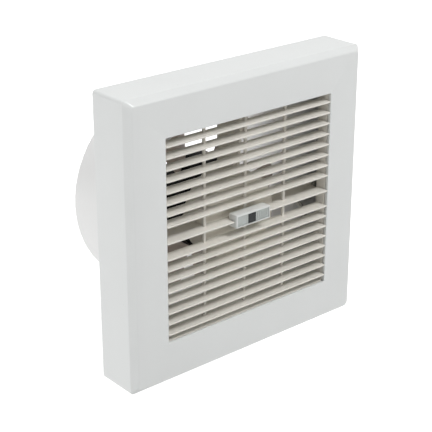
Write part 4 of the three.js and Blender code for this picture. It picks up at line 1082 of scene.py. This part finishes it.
def blade_place(along, out, up, half, radius):
    """A blade's point in metres, from the duct's axis. Along runs from the leading edge at 0 to the
    trailing edge at 1, out from root to tip, and up is -1 or 1 on the two faces."""
    depth = BLADE_DEPTH_ROOT + (BLADE_DEPTH_TIP - BLADE_DEPTH_ROOT) * out
    sweep = radians(SWEEP_ANGLE_ROOT + (SWEEP_ANGLE_TIP - SWEEP_ANGLE_ROOT) * out)
    bulge = 4 * along * (1 - along)
    pitch = atan2(depth, sweep * radius)
    angle = radians(REST_ANGLE) - sweep * along + up * half * sin(pitch) / radius
    y = BLADE_FRONT + depth * along - BLADE_CAMBER * bulge + up * half * cos(pitch)
    return Vector((radius * cos(angle), y, radius * sin(angle))) * MM


def round_share(distance):
    """How thick a round edge is this far in, as a share, where 1 is the edge's own radius."""
    return sqrt(max(0.0, 1 - (1 - min(1.0, distance)) ** 2))


def edge_steps(edge, count):
    """Shares from 0 to 1, close together within a round edge at either end."""
    near = [edge * share for share in EDGE_SHARES]
    inner = [edge + (1 - 2 * edge) * i / count for i in range(1, count)]
    return near + inner + [1 - share for share in reversed(near)]


def blade_vane():
    """A blade from its foot to its tip: twisted, hollow on one face, with thin and round edges."""
    start = BLADE_ROOT_RADIUS + BLADE_FOOT / 2
    span = BLADE_TIP_RADIUS - start
    steps = edge_steps(BLADE_EDGE, CHORD_STEPS)
    tip_edge = BLADE_EDGE_RADIUS / span
    outs = [i / SPAN_STEPS * (1 - tip_edge) for i in range(SPAN_STEPS + 1)]
    outs += [1 - tip_edge * share for share in TIP_SHARES]
    bm = bmesh.new()
    loops = []
    for out in outs:
        root_share = max(0.0, 1 - out * span / BLADE_FILLET)
        flare = BLADE_FILLET / 2 * root_share ** 2
        tip_share = round_share((1 - out) / tip_edge)

        def half_thickness(along):
            bulge = 4 * along * (1 - along)
            share = 1 - EDGE_THINNING + EDGE_THINNING * bulge
            taper = 1 + TIP_THINNING - 2 * TIP_THINNING * out
            edge = round_share(min(along, 1 - along) / BLADE_EDGE)
            return (BLADE_THICKNESS / 2 * share * taper * tip_share + flare) * edge

        def point(along, up):
            radius = (start + span * out) * (1 - CORNER_CUT * out ** 4 * (2 * along - 1) ** 4)
            return bm.verts.new(blade_place(along, out, up, half_thickness(along), radius))

        face = [point(a, 1) for a in steps]
        back = [point(a, -1) for a in steps]
        loops.append([point(0.0, 0)] + face + [point(1.0, 0)] + back[::-1])
    join_rings(bm, loops)
    for loop in (loops[0], loops[-1]):
        bm.faces.new(loop[:2] + loop[-1:])
        for i in range(1, len(steps)):
            bm.faces.new((loop[i], loop[i + 1], loop[-i - 1], loop[-i]))
        bm.faces.new((loop[len(steps)], loop[len(steps) + 1], loop[len(steps) + 2]))
    return closed_mesh(bm, "vane")


def blade_foot():
    """The curved flange by which a blade is fixed to the can."""
    half = BLADE_FOOT_WIDTH / 2
    inner, outer = BLADE_ROOT_RADIUS, BLADE_ROOT_RADIUS + BLADE_FOOT
    section = rounded_profile([(inner, -half), (outer, -half), (outer, half), (inner, half)],
                              [0.1, 0.6, 0.6, 0.1])
    bm = bmesh.new()
    loops = []
    for i in range(FOOT_STEPS + 1):
        along = i / FOOT_STEPS
        loop = []
        for radius, y in section:
            place = blade_place(along, 0.0, 0, 0.0, radius)
            loop.append(bm.verts.new(place + Vector((0, y * MM, 0))))
        loops.append(loop)
    join_rings(bm, loops)
    bm.faces.new(loops[0])
    bm.faces.new(loops[-1])
    return closed_mesh(bm, "foot")


def fit_blades():
    blade = combined(blade_vane(), blade_foot())
    for i in range(BLADE_COUNT):
        mesh = blade.copy()
        turn = Matrix.Rotation(-i * FULL_TURN / BLADE_COUNT, 4, "Y")
        mesh.transform(Matrix.Translation(DUCT_AXIS) @ turn)
        show(f"blade_{i + 1}", smooth(mesh), f"fan_blade_{i + 1}")


fit_blades()

# ------------------------ mains connection


def grommet():
    """The rubber grommet in the back plate: a soft lip, a narrower neck and a straight bore."""
    outer, front, back = ring_span("cable_grommet")
    centre = middle("cable_grommet")
    turned_piece("grommet_moulding", "cable_grommet", [
        (GROMMET_BORE, front), (outer, front), (outer, front + GROMMET_LIP),
        (GROMMET_NECK, front + GROMMET_LIP), (GROMMET_NECK, back), (GROMMET_BORE, back),
    ], [0.5, 0.6, 0.3, 0.2, 0.6, 0.4], GROMMET_SEGMENTS, Vector((centre.x, 0, centre.z)))


def lead(name, node):
    """An insulated lead, rounded from its plain tube."""
    piece = show(name, smooth(merged_copy(node), FACET_ANGLE), node)
    rounding = piece.modifiers.new("rounding", "SUBSURF")
    rounding.levels = rounding.render_levels = LEAD_LEVELS


softened("terminal_moulding", "terminal_block", TERMINAL_ROUND)
softened("clamp_moulding", "cable_clamp", CLAMP_ROUND)
softened("terminal_lid", "terminal_cover", LID_ROUND, LID_STEPS)
grommet()
lead("live_insulation", "lead_live")
lead("neutral_insulation", "lead_neutral")

# ------------------------ floor, world and lamps


def direct_view(tree):
    """1 for what the camera, a reflection or clear stuff sees straight on, and 0 for light that
    bounces."""
    path = put(tree, "ShaderNodeLightPath").outputs
    seen = put(tree, "ShaderNodeMath", {0: path["Is Camera Ray"], 1: path["Is Glossy Ray"]},
               operation="MAXIMUM").outputs[0]
    return put(tree, "ShaderNodeMath", {0: seen, 1: path["Is Transmission Ray"]},
               operation="MAXIMUM").outputs[0]


def backdrop_finish():
    """A plain pale floor. It shows as white but for the object's soft shadow."""
    material = bpy.data.materials.new("matt_white_paper")
    material.use_nodes = True
    tree = material.node_tree
    tree.nodes.remove(tree.nodes["Principled BSDF"])
    paper = put(tree, "ShaderNodeBsdfDiffuse", {"Color": linear("#dcdcdc")}).outputs[0]
    lift = put(tree, "ShaderNodeMath", {0: direct_view(tree), 1: FLOOR_LIFT},
               operation="MULTIPLY").outputs[0]
    glow = put(tree, "ShaderNodeEmission", {"Strength": lift}).outputs[0]
    whole = put(tree, "ShaderNodeAddShader", {0: paper, 1: glow}).outputs[0]
    tree.links.new(whole, tree.nodes["Material Output"].inputs["Surface"])
    return material


def make_floor():
    bm = bmesh.new()
    bmesh.ops.create_grid(bm, x_segments=4, y_segments=4, size=FLOOR_REACH)
    bmesh.ops.translate(bm, vec=(0, 0, cad_low.z - FLOOR_DROP), verts=bm.verts)
    floor = bpy.data.objects.new("floor", mesh_from(bm, "floor"))
    floor.data.materials.append(backdrop_finish())
    scene.collection.objects.link(floor)


def make_world():
    world = bpy.data.worlds.new("world")
    world.use_nodes = True
    scene.world = world
    tree = world.node_tree
    tree.nodes.clear()
    strength = put(tree, "ShaderNodeMapRange", {
        "Value": direct_view(tree), "To Min": WORLD_LEVEL, "To Max": 1.0}).outputs["Result"]
    sky = put(tree, "ShaderNodeBackground", {"Strength": strength})
    put(tree, "ShaderNodeOutputWorld", {"Surface": sky.outputs[0]})


def soft_box(name, azimuth, elevation, distance, width, height, power):
    """An area lamp that looks at the object from that side."""
    data = bpy.data.lights.new(name, "AREA")
    data.shape = "RECTANGLE"
    data.size, data.size_y = width, height
    data.energy = power
    lamp = bpy.data.objects.new(name, data)
    away = direction(radians(azimuth), radians(elevation))
    lamp.location = away * distance
    lamp.rotation_euler = (-away).to_track_quat("-Z", "Y").to_euler()
    scene.collection.objects.link(lamp)


make_floor()
make_world()
for lamp in LAMPS:
    soft_box(*lamp)

scene.view_settings.view_transform = "Standard"
